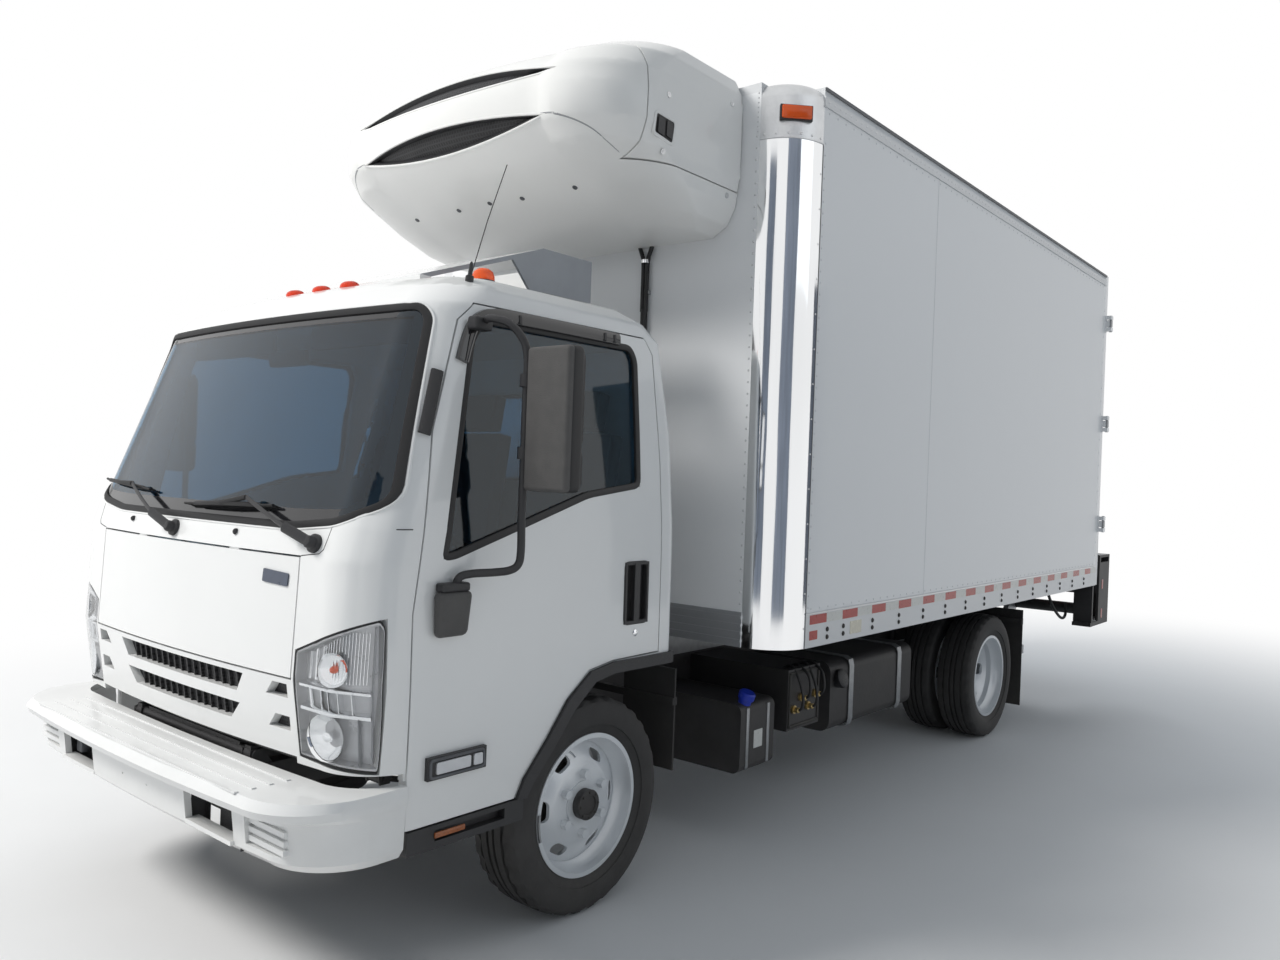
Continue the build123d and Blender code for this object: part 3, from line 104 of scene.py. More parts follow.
def mixed(tree, share, first, second):
    inputs = {"Factor": share, "A": first, "B": second}
    return add_node(tree, "ShaderNodeMix", inputs, data_type="RGBA").outputs["Result"]


def bumped(tree, height, strength, distance):
    inputs = {"Height": height, "Strength": strength, "Distance": distance}
    return add_node(tree, "ShaderNodeBump", inputs).outputs["Normal"]


def new_look(name):
    """A new material, its node tree and its shader."""
    material = bpy.data.materials.new(name)
    material.use_nodes = True
    return material, material.node_tree, material.node_tree.nodes["Principled BSDF"]


DUST = (0.32, 0.29, 0.25, 1)
DUST_END = 0.1


def surface(name, colour, rough, spread, grain, bump=0.0, bump_scale=200.0, metal=0.0, coat=0.0,
            stretch=(1, 1, 1), dirt=0.0, dirt_top=0.9, rough_spread=0.08, extra=None):
    """A look whose colour and roughness vary, with a fine bump and dust near the ground."""
    material, tree, shader = new_look(name)
    pattern = noise(tree, grain, stretch=stretch)
    low = [c * (1 - spread) for c in colour]
    high = [min(1.0, c * (1 + spread)) for c in colour]
    tone = ramp(tree, pattern, low, high)
    if dirt > 0:
        position = add_node(tree, "ShaderNodeNewGeometry").outputs["Position"]
        height = add_node(tree, "ShaderNodeSeparateXYZ", {"Vector": position}).outputs["Z"]
        low_down = ranged(tree, height, 0.0, dirt, min=dirt_top, max=DUST_END)
        tone = mixed(tree, maths(tree, "MULTIPLY", low_down, noise(tree, 7.0, 7.0, 0.7)), tone, DUST)
    roughness = ranged(tree, pattern, max(0.02, rough - rough_spread), min(1.0, rough + rough_spread))
    set_inputs(tree, shader, {"Base Color": tone, "Roughness": roughness, "Metallic": metal,
                              "Coat Weight": coat, "Coat Roughness": 0.05})
    set_inputs(tree, shader, extra or {})
    if bump > 0:
        fine = noise(tree, bump_scale, 3.0, stretch=stretch)
        set_inputs(tree, shader, {"Normal": bumped(tree, fine, bump, 0.002)})
    return material


def clear(name, colour, rough=0.02, ior=1.45, share=1.0, glow=None, strength=0.0):
    """A see-through look, faintly marked. share is how much light goes through it, glow its own light."""
    material, tree, shader = new_look(name)
    tone = ramp(tree, noise(tree, 6.0), [c * 0.96 for c in colour], colour)
    set_inputs(tree, shader, {"Base Color": tone, "Roughness": rough, "IOR": ior,
                              "Transmission Weight": share})
    if glow:
        set_inputs(tree, shader, {"Emission Color": (*glow, 1), "Emission Strength": strength})
    return material


def mesh_with_shaded_cells(name, colour, gap, wire):
    """Dark moulding with a fine square mesh pressed into it. The sunk cells between the wires are painted
    four times darker than the wires, as painted shade in the openings.
    """
    material, tree, shader = new_look(name)
    coord = add_node(tree, "ShaderNodeTexCoord").outputs["Object"]
    turn = {"Vector": coord, "Rotation": (math.radians(90), 0, 0)}
    place = add_node(tree, "ShaderNodeMapping", turn).outputs["Vector"]
    inputs = {"Vector": place, "Scale": 1.0, "Mortar Size": wire, "Brick Width": gap, "Row Height": gap,
              "Mortar Smooth": 0.2}
    wires = add_node(tree, "ShaderNodeTexBrick", inputs, offset=0.5).outputs["Fac"]
    # The cells get a quarter of the wires' colour: painted shade in the mesh's openings.
    tone = ramp(tree, wires, [c * 0.25 for c in colour], colour, (0.2, 0.8))
    set_inputs(tree, shader, {"Base Color": tone, "Roughness": 0.5,
                              "Normal": bumped(tree, wires, 0.8, 0.003)})
    return material


def polished_steel(name):
    """Mirror-bright stainless sheet with the slow waves of a rolled sheet."""
    material, tree, shader = new_look(name)
    waves = noise(tree, 2.2, 2.0, stretch=(1.5, 1.5, 0.35))
    fine = noise(tree, 40.0, 3.0, stretch=(1, 1, 0.03))
    set_inputs(tree, shader, {"Base Color": ramp(tree, waves, (0.80, 0.81, 0.82), (0.88, 0.89, 0.9)),
                              "Roughness": ranged(tree, fine, 0.04, 0.12), "Metallic": 1.0,
                              "Normal": bumped(tree, waves, 0.25, 0.02)})
    return material


# In order: name, colour, roughness, spread of the tone, grain, bump and the bump's scale
CAB_WHITE = surface("cab_paint", (0.80, 0.805, 0.80), 0.3, 0.012, 2.0, 0.03, 60.0, coat=0.7, dirt=0.25,
                    rough_spread=0.04)
BUMPER_WHITE = surface("bumper_paint", (0.78, 0.785, 0.78), 0.36, 0.03, 5.0, 0.08, 90.0, coat=0.4, dirt=0.35,
                       dirt_top=0.75)
BOX_WHITE = surface("box_panel", (0.80, 0.81, 0.82), 0.34, 0.012, 0.9, 0.10, 2.6, coat=0.25,
                    rough_spread=0.05)
ROOF_SKIN = surface("roof_sheet", (0.74, 0.75, 0.76), 0.62, 0.05, 3.0, 0.15, 30.0,
                    extra={"Specular IOR Level": 0.25})
DOOR_WHITE = surface("rear_door_panel", (0.78, 0.79, 0.8), 0.24, 0.02, 1.5, 0.08, 4.0, coat=0.5)
UNIT_WHITE = surface("unit_cover", (0.80, 0.80, 0.785), 0.34, 0.015, 2.5, 0.06, 140.0, coat=0.25)
STEEL = polished_steel("polished_steel")
CAST = surface("cast_metal", (0.63, 0.64, 0.65), 0.38, 0.08, 12.0, 0.35, 160.0, metal=0.85)
ALUMINIUM = surface("aluminium_rail", (0.56, 0.57, 0.58), 0.33, 0.06, 5.0, 0.15, 60.0, metal=0.9,
                    stretch=(0.15, 1, 1))
CHASSIS = surface("chassis_black", (0.014, 0.014, 0.016), 0.55, 0.4, 6.0, 0.3, 50.0, dirt=0.16, dirt_top=1.1)
PLASTIC = surface("black_plastic", (0.022, 0.022, 0.024), 0.5, 0.2, 8.0, 0.5, 600.0)
GRAINED = surface("mirror_plastic", (0.075, 0.073, 0.072), 0.62, 0.12, 20.0, 0.8, 330.0)
DASH = surface("dash_plastic", (0.13, 0.135, 0.145), 0.6, 0.1, 9.0, 0.6, 420.0)
MESH = mesh_with_shaded_cells("grille_mesh", (0.035, 0.035, 0.038), 0.012, 0.0022)
UNIT_MESH = mesh_with_shaded_cells("unit_mesh", (0.03, 0.03, 0.033), 0.016, 0.003)
GLASS = clear("window_glass", (0.085, 0.205, 0.33), ior=1.5)
SIDE_GLASS = clear("side_glass", (0.18, 0.27, 0.33), ior=1.5)
LENS = clear("lamp_lens", (0.93, 0.94, 0.95), ior=1.46)
AMBER = clear("amber_lens", (0.92, 0.13, 0.012), 0.12, share=0.45, glow=(0.9, 0.1, 0.005), strength=0.12)
RED_AMBER = clear("marker_lens", (0.80, 0.05, 0.008), 0.14, share=0.4, glow=(0.8, 0.04, 0.004), strength=0.10)
RED = clear("red_lens", (0.75, 0.02, 0.015), 0.15, share=0.4, glow=(0.7, 0.01, 0.01), strength=0.12)
DULL_AMBER = surface("step_reflector", (0.30, 0.085, 0.02), 0.3, 0.15, 80.0, 0.4, 300.0, coat=0.3)
CHROME = surface("reflector_chrome", (0.86, 0.87, 0.88), 0.08, 0.02, 4.0, metal=1.0, rough_spread=0.03)
RUBBER = surface("tyre_rubber", (0.020, 0.020, 0.021), 0.72, 0.25, 14.0, 0.4, 180.0, dirt=0.12, dirt_top=0.95)
SEAL = surface("seal_rubber", (0.012, 0.012, 0.013), 0.6, 0.2, 20.0, 0.2, 300.0)
WHEEL = surface("wheel_paint", (0.72, 0.745, 0.77), 0.32, 0.04, 7.0, 0.15, 120.0, metal=0.2, coat=0.25,
                dirt=0.22, dirt_top=0.85)
IRON = surface("cast_iron", (0.055, 0.053, 0.05), 0.75, 0.3, 14.0, 0.6, 140.0, metal=0.4)
CLOTH = surface("seat_cloth", (0.07, 0.075, 0.085), 0.95, 0.2, 120.0, 0.8, 700.0, extra={"Sheen Weight": 0.3})
GALVANISED = surface("deck_steel", (0.33, 0.34, 0.35), 0.45, 0.14, 22.0, 0.25, 70.0, metal=0.8)
FLAP = surface("flap_rubber", (0.016, 0.016, 0.017), 0.8, 0.25, 10.0, 0.4, 90.0, dirt=0.25)
TAPE_RED = surface("tape_red", (0.42, 0.045, 0.035), 0.3, 0.1, 60.0, 0.3, 350.0)
TAPE_WHITE = surface("tape_white", (0.66, 0.66, 0.63), 0.3, 0.05, 60.0, 0.3, 350.0)
BLUE_CAP = surface("blue_cap", (0.01, 0.035, 0.42), 0.4, 0.1, 30.0, 0.2)
GREY_PANEL = surface("grey_panel", (0.33, 0.345, 0.37), 0.45, 0.05, 8.0, 0.15, 120.0)
BADGE_BLUE = surface("lid_plate", (0.045, 0.06, 0.095), 0.3, 0.1, 40.0, coat=0.4)
GLOSS_BLACK = surface("gloss_black", (0.012, 0.012, 0.014), 0.12, 0.2, 9.0, coat=0.5, rough_spread=0.04)
RAIL_WHITE = surface("rail_white", (0.66, 0.67, 0.68), 0.35, 0.04, 6.0, 0.1, 80.0, metal=0.15,
                     stretch=(1, 0.2, 1))
# Grey aluminium of the front wall's lower rail, darkened beyond the side rails as painted shade
RAIL_GREY_SHADED = surface("rail_grey_shaded", (0.40, 0.41, 0.425), 0.42, 0.06, 7.0, 0.15, 90.0, metal=0.5,
                    stretch=(0.2, 1, 1))
RAIL_DARK = surface("rail_dark", (0.10, 0.105, 0.115), 0.5, 0.2, 11.0, 0.2, 120.0, metal=0.4)
BOX_RIVET = surface("rivet_white", (0.62, 0.63, 0.65), 0.3, 0.05, 30.0)
SEAM_GREY = surface("seam_grey", (0.30, 0.31, 0.32), 0.5, 0.05, 12.0)
LAMP_GREY = surface("lamp_case", (0.60, 0.61, 0.63), 0.30, 0.08, 16.0, 0.1, 150.0, metal=0.30)
LENS_PLATE = surface("frosted_lens", (0.72, 0.72, 0.69), 0.14, 0.08, 90.0, 0.5, 260.0, coat=0.6)
MIRROR = surface("mirror_glass", (0.80, 0.82, 0.84), 0.03, 0.01, 3.0, metal=1.0, rough_spread=0.01)
PALE_AMBER = surface("pale_reflector", (0.62, 0.58, 0.46), 0.25, 0.08, 70.0, 0.4, 300.0, coat=0.4)
COPPER = surface("copper_pipe", (0.60, 0.28, 0.16), 0.35, 0.12, 20.0, 0.2, 110.0, metal=0.9)
BRASS = surface("brass_fitting", (0.50, 0.38, 0.17), 0.38, 0.15, 24.0, 0.2, 130.0, metal=0.85)
PALE_FLOOR = surface("studio_floor", (0.80, 0.80, 0.80), 0.85, 0.01, 2.0)

NODE_LOOKS = {
    CAB_WHITE: ("cab_roof", "cab_back", "cab_front", "cab_sides", "grille_panel", "roof_deflector",
                "front_lid", "door_left", "door_right"),
    BUMPER_WHITE: ("front_bumper",),
    BOX_WHITE: ("box_front_wall", "box_side_walls"),
    ROOF_SKIN: ("box_roof",),
    DOOR_WHITE: ("box_door_left", "box_door_right", "rear_frame"),
    UNIT_WHITE: ("unit_shell", "unit_door_left", "unit_door_right"),
    STEEL: ("corner_posts",),
    CAST: ("corner_caps",),
    # side_units holds the fuel tank, whose black is painted shade of the shadow under the box
    CHASSIS: ("frame_rails", "axles", "leaf_springs", "side_units", "lift_frame", "cab_floor",
              "unit_core", "tie_rod"),
    PLASTIC: ("cab_trim",),
    GRAINED: ("mirror_left", "mirror_right"),
    DASH: ("dashboard",),
    MESH: ("grille_mesh",),
    UNIT_MESH: ("unit_grilles",),
    GLASS: ("cab_glass",),
    SIDE_GLASS: ("door_glass_left", "door_glass_right"),
    LENS: ("cab_lamps",),
    RED: ("box_lamps",),
    RUBBER: ("front_tire_left", "front_tire_right", "rear_tires_left", "rear_tires_right"),
    WHEEL: ("front_wheel_left", "front_wheel_right", "rear_wheels_left", "rear_wheels_right"),
    IRON: ("engine", "drive_shaft", "knuckle_left", "knuckle_right"),
    CLOTH: ("seats",),
    GALVANISED: ("box_floor", "lift_platform"),
    FLAP: ("mud_flaps",),
}
for look, names in NODE_LOOKS.items():
    for node_name in names:
        data = NODES[node_name].data
        if not data.materials:
            data.materials.append(look)
        for index in range(len(data.materials)):
            data.materials[index] = look


# Mesh helpers. A shape is its points and faces, and a list of shapes makes one piece.

def add(name, shapes, look, body="root", smooth=30, bevel=0.0, replaces=None):
    """A mesh object from shapes that rides on a body."""
    verts, faces = joined(shapes) if isinstance(shapes, list) else shapes
    mesh = bpy.data.meshes.new(name)
    mesh.from_pydata([tuple(Vector(v) + TO_FRAME) for v in verts], [], faces)
    mesh.validate()
    obj = bpy.data.objects.new(name, mesh)
    bpy.context.scene.collection.objects.link(obj)
    dress(obj, look, body, smooth, bevel)
    if replaces:
        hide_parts(replaces)


def dress(obj, look, body, smooth, bevel=0.0):
    """Clean normals, give the look and the shading, and ride on the body."""
    mesh = obj.data
    bm = bmesh.new()
    bm.from_mesh(mesh)
    bmesh.ops.remove_doubles(bm, verts=bm.verts, dist=0.00002)
    bmesh.ops.recalc_face_normals(bm, faces=bm.faces)
    if bevel > 0:
        edges = [e for e in bm.edges if len(e.link_faces) == 2 and e.calc_face_angle(0) > 0.5]
        bmesh.ops.bevel(bm, geom=edges, offset=bevel, segments=2, profile=0.5, affect="EDGES",
                        clamp_overlap=True)
    bm.to_mesh(mesh)
    bm.free()
    mesh.materials.append(look)
    mesh.shade_smooth()
    mesh.set_sharp_from_angle(angle=math.radians(smooth))
    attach(obj, body)


def mirrored(shapes, side):
    """The same shapes on the other side where side is -1."""
    if isinstance(shapes, list):
        return [mirrored(shape, side) for shape in shapes]
    verts, faces = shapes
    return [(v[0] * side, v[1], v[2]) for v in verts], faces


def pair(name, shapes, look, body="root", smooth=30, bevel=0.0, replaces=None):
    """A piece on both sides, drawn on +X. {} in body and replaces takes the side's word."""
    for side, word in MIRRORED:
        add(f"{name}_{word}", mirrored(shapes, side), look, body.format(word), smooth, bevel,
            replaces and replaces.format(word))


def joined(shapes):
    """One shape from several."""
    verts = []
    faces = []
    for part_verts, part_faces in shapes:
        base = len(verts)
        verts += list(part_verts)
        faces += [tuple(base + i for i in face) for face in part_faces]
    return verts, faces


def brick(x, y, z):
    """A box from its ranges."""
    verts = [(a, b, c) for a in x for b in y for c in z]
    return verts, [(0, 1, 3, 2), (4, 6, 7, 5), (0, 4, 5, 1), (2, 3, 7, 6), (0, 2, 6, 4), (1, 5, 7, 3)]


def bricks(x, y, z):
    """Boxes for every combination of the ranges. Each of x, y and z is one range or a list of them."""
    xs, ys, zs = (value if isinstance(value, list) else [value] for value in (x, y, z))
    return [brick(a, b, c) for a in xs for b in ys for c in zs]


def row(start, step, count, size):
    """Equal ranges in a row."""
    return [(start + step * k, start + step * k + size) for k in range(count)]


def prism(points, y0, y1):
    """A polygon of x and z drawn out along y."""
    count = len(points)
    verts = [(x, y, z) for y in (y0, y1) for x, z in points]
    faces = [tuple(range(count)), tuple(range(2 * count - 1, count - 1, -1))]
    faces += [(i, (i + 1) % count, count + (i + 1) % count, count + i) for i in range(count)]
    return verts, faces


def quads(rings, size, round_rings, round_size):
    """Faces between rings of points that follow each other."""
    faces = []
    for i in range(rings if round_rings else rings - 1):
        a = i * size
        b = (i + 1) % rings * size
        faces += [(a + j, a + (j + 1) % size, b + (j + 1) % size, b + j)
                  for j in range(size if round_size else size - 1)]
    return faces


def sweep(sections, closed=False):
    """A skin over sections of equally many points, with end caps unless it is closed."""
    count = len(sections)
    size = len(sections[0])
    faces = quads(count, size, closed, True)
    if not closed:
        faces += [tuple(range(size)), tuple(range(count * size - 1, (count - 1) * size - 1, -1))]
    return [point for section in sections for point in section], faces


def lathe(profile, centre, axis, steps=32, start=0.0, turn=360.0):
    """A profile of (along, radius) points turned round an axis through centre."""
    axis = Vector(axis).normalized()
    side = axis.orthogonal().normalized()
    other = axis.cross(side)
    closed = turn == 360.0
    rings = steps if closed else steps + 1
    verts = []
    for i in range(rings):
        angle = math.radians(start + turn * i / steps)
        out = side * math.cos(angle) + other * math.sin(angle)
        verts += [Vector(centre) + axis * a + out * r for a, r in profile]
    return verts, quads(rings, len(profile), closed, False)


def smooth_path(points, steps=6):
    """A Catmull-Rom path through points."""
    pts = [Vector(p) for p in points]
    ends = [pts[0] * 2 - pts[1]] + pts + [pts[-1] * 2 - pts[-2]]
    path = []
    for i in range(1, len(ends) - 2):
        p0, p1, p2, p3 = ends[i - 1:i + 3]
        for k in range(steps):
            t = k / steps
            path.append(0.5 * ((2 * p1) + (p2 - p0) * t + (2 * p0 - 5 * p1 + 4 * p2 - p3) * t * t
                               + (3 * p1 - p0 - 3 * p2 + p3) * t ** 3))
    return path + [pts[-1]]


def tube(points, radius, sides=10, closed=False, flat=1.0, up=Z):
    """A round or flattened tube along a path. flat is its thickness across to its width."""
    path = [Vector(p) for p in points]
    count = len(path)
    sections = []
    last = Vector(up)
    for i, p in enumerate(path):
        before = path[i - 1] if i or closed else p
        after = path[(i + 1) % count] if i < count - 1 or closed else p
        along = (after - before).normalized()
        u = last - along * last.dot(along)
        if u.length < 1e-5:
            u = along.orthogonal()
        u.normalize()
        last = u
        v = along.cross(u) * flat
        angles = [2 * math.pi * k / sides for k in range(sides)]
        sections.append([p + (u * math.cos(a) + v * math.sin(a)) * radius for a in angles])
    return sweep(sections, closed)


def hose(name, points, diameter):
    """A free hose or cable on one smooth line with its own diameter."""
    data = bpy.data.curves.new(name, "CURVE")
    data.dimensions = "3D"
    data.bevel_depth = diameter / 2
    data.bevel_resolution = 3
    data.use_fill_caps = True
    line = data.splines.new("NURBS")
    line.points.add(len(points) - 1)
    for (x, y, z), point in zip(points, line.points):
        point.co = (x, y + AXLE_Y, z, 1)
    line.order_u = 3
    line.use_endpoint_u = True
    line.resolution_u = 10
    data.materials.append(SEAL)
    obj = bpy.data.objects.new(name, data)
    bpy.context.scene.collection.objects.link(obj)
    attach(obj, "root")
    x, y, z = points[0]


def dots(places, normal, radius, height, sides=6):
    """Low domed heads on a surface."""
    profile = [(0, radius), (height * 0.6, radius * 0.82), (height, radius * 0.35), (height, 0.0001)]
    return [lathe(profile, p, normal, sides) for p in places]


def nuts(places, normal, radius, height):
    """Hexagon heads with a washer."""
    profile = [(0, radius * 1.35), (height * 0.2, radius * 1.35), (height * 0.2, radius),
               (height * 0.9, radius), (height, radius * 0.8), (height, 0.0001)]
    return [lathe(profile, p, normal, 6) for p in places]


def collar(inner, outer, half, centre, axis, steps=20):
    """A short ring round an axis."""
    return lathe([(-half, inner), (-half, outer), (half, outer), (half, inner)], centre, axis, steps)


def soft_box(x, y, z, edge, place=None):
    """A box with broad round edges. place may move each point."""
    bm = bmesh.new()
    verts, faces = brick(x, y, z)
    made = [bm.verts.new(v) for v in verts]
    for face in faces:
        bm.faces.new([made[i] for i in face])
    bmesh.ops.bevel(bm, geom=list(bm.edges), offset=edge, segments=5, profile=0.5, affect="EDGES")
    points = [place(v.co) if place else v.co.copy() for v in bm.verts]
    bm.verts.index_update()
    found = [tuple(v.index for v in face.verts) for face in bm.faces]
    bm.free()
    return points, found


SKINS = {}


def cast(node, start, way):
    """Where a ray meets a CAD node, or None."""
    if node not in SKINS:
        mesh = NODES[node].data
        SKINS[node] = BVHTree.FromPolygons([v.co.copy() for v in mesh.vertices],
                                           [tuple(p.vertices) for p in mesh.polygons])
    hit = SKINS[node].ray_cast(Vector(start) + TO_FRAME, Vector(way))[0]
    return hit if hit is None else hit - TO_FRAME


def on_roof(x, y, sunk):
    """A point on the cab's roof, sunk a little."""
    return cast("cab_roof", (x, y, 5.0), (0, 0, -1)) - Vector((0, 0, sunk))


def tint(node, look, test):
    """Give a look to the faces of a CAD node whose middle passes a test. It gets the width from the
    middle, the length from the front axle, the height and the signed x."""
    data = NODES[node].data
    data.materials.append(look)
    for face in data.polygons:
        middle = face.center
        if test(abs(middle.x), middle.y - AXLE_Y, middle.z, middle.x):
            face.material_index = len(data.materials) - 1


# Curved skins of the cab and the refrigeration unit

# Each row: height, front, bow, half of the flat front, half width and depth of the round corner
CAB_FORM = (
    (0.500, -1.096, 0.036, 0.800, 1.000, 0.190),
    (0.700, -1.096, 0.036, 0.800, 1.002, 0.190),
    (0.985, -1.138, 0.038, 0.800, 1.004, 0.190),
    (1.355, -1.120, 0.038, 0.798, 1.001, 0.190),
    (1.450, -1.092, 0.038, 0.795, 0.998, 0.190),
    (1.800, -0.970, 0.040, 0.765, 0.968, 0.185),
    (2.170, -0.842, 0.042, 0.740, 0.930, 0.180),
    (2.240, -0.775, 0.046, 0.715, 0.895, 0.175),
    (2.290, -0.680, 0.050, 0.680, 0.830, 0.160),
    (2.312, -0.560, 0.054, 0.620, 0.740, 0.140),
)
UNIT_FORM = (
    (2.722, 0.560, 0.020, 0.560, 0.800, 0.120),
    (2.765, 0.400, 0.026, 0.560, 0.872, 0.190),
    (2.840, 0.215, 0.034, 0.560, 0.912, 0.250),
    (2.955, -0.020, 0.050, 0.560, 0.930, 0.270),
    (3.040, -0.098, 0.056, 0.560, 0.934, 0.280),
    (3.150, -0.116, 0.060, 0.560, 0.935, 0.290),
    (3.240, -0.092, 0.060, 0.560, 0.933, 0.290),
    (3.330, 0.000, 0.060, 0.560, 0.926, 0.290),
    (3.400, 0.150, 0.060, 0.560, 0.890, 0.250),
    (3.442, 0.330, 0.060, 0.540, 0.800, 0.200),
)


def plan(form, z):
    """A form's plan at a height: front, bow, flat, half width and corner."""
    for low, high in zip(form, form[1:]):
        if z <= high[0]:
            break
    share = (z - low[0]) / (high[0] - low[0])
    return [a + (b - a) * share for a, b in zip(low, high)][1:]


def fall_back(flat, bow, x):
    """How far the front's arc lies behind its middle."""
    radius = (flat * flat + bow * bow) / (2 * bow)
    return radius - math.sqrt(radius * radius - x * x)


def front_place(form, x, z):
    """The front's skin at x."""
    front, bow, flat, half, corner = plan(form, z)
    if abs(x) <= flat:
        return Vector((x, front + fall_back(flat, bow, x), z))
    share = min(0.999, (abs(x) - flat) / (half - flat))
    return Vector((x, front + bow + corner * (1 - math.sqrt(1 - share * share)), z))


def side_place(form, y, z):
    """The driver's side's skin at y."""
    front, bow, flat, half, corner = plan(form, z)
    share = max(0.0, min(0.999, (front + bow + corner - y) / corner))
    return Vector((flat + (half - flat) * math.sqrt(1 - share * share), y, z))


def corner_place(form, s, z):
    """The skin by its way round: s is 0 to 1 on the front's half, then up to 2 over the round corner."""
    front, bow, flat, half, corner = plan(form, z)
    if s <= 1:
        return Vector((flat * s, front + fall_back(flat, bow, flat * s), z))
    angle = math.radians(90 * (s - 1))
    return Vector((flat + (half - flat) * math.sin(angle), front + bow + corner * (1 - math.cos(angle)), z))


def over(place, form, step=0.002, rise_step=0.002):
    """A function that gives a point of a skin, moved out along the skin's normal."""
    def point(a, z, out=0.0):
        along = place(form, a + step, z) - place(form, a - step, z)
        rise = place(form, a, z + rise_step) - place(form, a, z - rise_step)
        return place(form, a, z) + along.cross(rise).normalized() * out
    return point


on_front = over(front_place, CAB_FORM)
on_side = over(side_place, CAB_FORM)
on_corner = over(corner_place, CAB_FORM, 0.01)
unit_front = over(front_place, UNIT_FORM, 0.003, 0.003)
unit_side = over(side_place, UNIT_FORM, 0.003, 0.003)
unit_round = over(corner_place, UNIT_FORM, 0.01)


def unit_corner(s, z, out=0.0):
    """A point over the unit's solid, beside its skin's place."""
    place = unit_round(s, z)
    normal = unit_round(s, z, 1) - place
    hit = cast("unit_shell", place + normal * 0.1, -normal)
    near = hit is not None and (hit - place).length < 0.03
    return (hit if near else place) + normal * out


# Outlines and the strips and plates that follow them on a skin

def straight(start, end, step):
    """Points between two ends, without the ends."""
    count = max(1, int((end - start).length / step))
    return [start.lerp(end, k / count) for k in range(1, count)]


def rounded(points, radius, step=0.04):
    """A closed polygon with round corners, as close points. radius is one number or one a corner."""
    loop = []
    count = len(points)
    for i, point in enumerate(points):
        here = Vector(point)
        before = Vector(points[i - 1]) - here
        after = Vector(points[(i + 1) % count]) - here
        reach = radius[i] if isinstance(radius, list) else radius
        pull = min(reach, before.length * 0.48, after.length * 0.48)
        start = here + before.normalized() * pull
        end = here + after.normalized() * pull
        if loop:
            loop += straight(loop[-1], start, step)
        for k in range(6):
            t = k / 5
            loop.append(start * (1 - t) ** 2 + here * 2 * t * (1 - t) + end * t ** 2)
    loop += straight(loop[-1], loop[0], step)
    return [(p.x, p.y) for p in loop]


def pane(a0, a1, b0, b1, radius):
    """A rectangle with round corners."""
    return rounded([(a0, b0), (a1, b0), (a1, b1), (a0, b1)], radius)


def outward(loop):
    """Unit normals of a closed outline, pointing out of it."""
    count = len(loop)
    area = sum(loop[i - 1][0] * loop[i][1] - loop[i][0] * loop[i - 1][1] for i in range(count))
    sign = 1 if area > 0 else -1
    normals = []
    for i in range(count):
        along = Vector(loop[(i + 1) % count]) - Vector(loop[i - 1])
        normals.append(Vector((along.y, -along.x)).normalized() * sign)
    return normals


def grown(loop, width):
    """An outline moved outward by a width."""
    return [(p[0] + n.x * width, p[1] + n.y * width) for p, n in zip(loop, outward(loop))]


def band(loop, profile, place):
    """A strip along an outline. The profile's points are (outward, height) from the outline."""
    return sweep([[place(p[0] + n.x * w, p[1] + n.y * w, h) for w, h in profile]
                  for p, n in zip(loop, outward(loop))], closed=True)


def bead(inner, outer, low, high):
    """The section of a rounded rubber or trim strip."""
    edge = (outer - inner) * 0.22
    drop = (high - low) * 0.3
    return [(inner, low), (inner, high - drop), (inner + edge, high), (outer - edge, high),
            (outer, high - drop), (outer, low)]


def strip(points, half, low, high, place):
    """An open strip along a path of 2-D points, with a low rounded section."""
    shoulder = high * 0.75 + low * 0.25
    profile = [(-half, low), (-half * 0.9, shoulder), (-half * 0.5, high), (half * 0.5, high),
               (half * 0.9, shoulder), (half, low)]
    sections = []
    for i, p in enumerate(points):
        along = Vector(points[min(i + 1, len(points) - 1)]) - Vector(points[max(i - 1, 0)])
        n = Vector((along.y, -along.x)).normalized()
        sections.append([place(p[0] + n.x * w, p[1] + n.y * w, h) for w, h in profile])
    return sweep(sections)


def plate(loop, place, low, high, rings=2):
    """A closed plate over an outline that is star-shaped round its middle."""
    count = len(loop)
    cx = sum(p[0] for p in loop) / count
    cy = sum(p[1] for p in loop) / count
    verts = []
    faces = []
    for level in (high, low):
        base = len(verts)
        verts.append(place(cx, cy, level))
        for k in range(1, rings + 1):
            verts += [place(cx + (p[0] - cx) * k / rings, cy + (p[1] - cy) * k / rings, level) for p in loop]
        faces += [(base, base + 1 + i, base + 1 + (i + 1) % count) for i in range(count)]
        faces += [tuple(base + 1 + i for i in face) for face in quads(rings, count, False, True)]
    top = 1 + (rings - 1) * count
    bottom = top + 1 + rings * count
    faces += [(top + i, top + (i + 1) % count, bottom + (i + 1) % count, bottom + i) for i in range(count)]
    return verts, faces


def line(start, end, steps):
    return [Vector(start).lerp(Vector(end), k / steps) for k in range(steps + 1)]


def screws(spots, skin, profile):
    """Screw heads that stand on a skin."""
    return [lathe(profile, skin(a, z), skin(a, z, 1) - skin(a, z), 16) for a, z in spots]


# Wheels

TYRE_STEPS = 96
SHOULDERS = (10, 11, 12, 13, 28, 29, 30, 31)


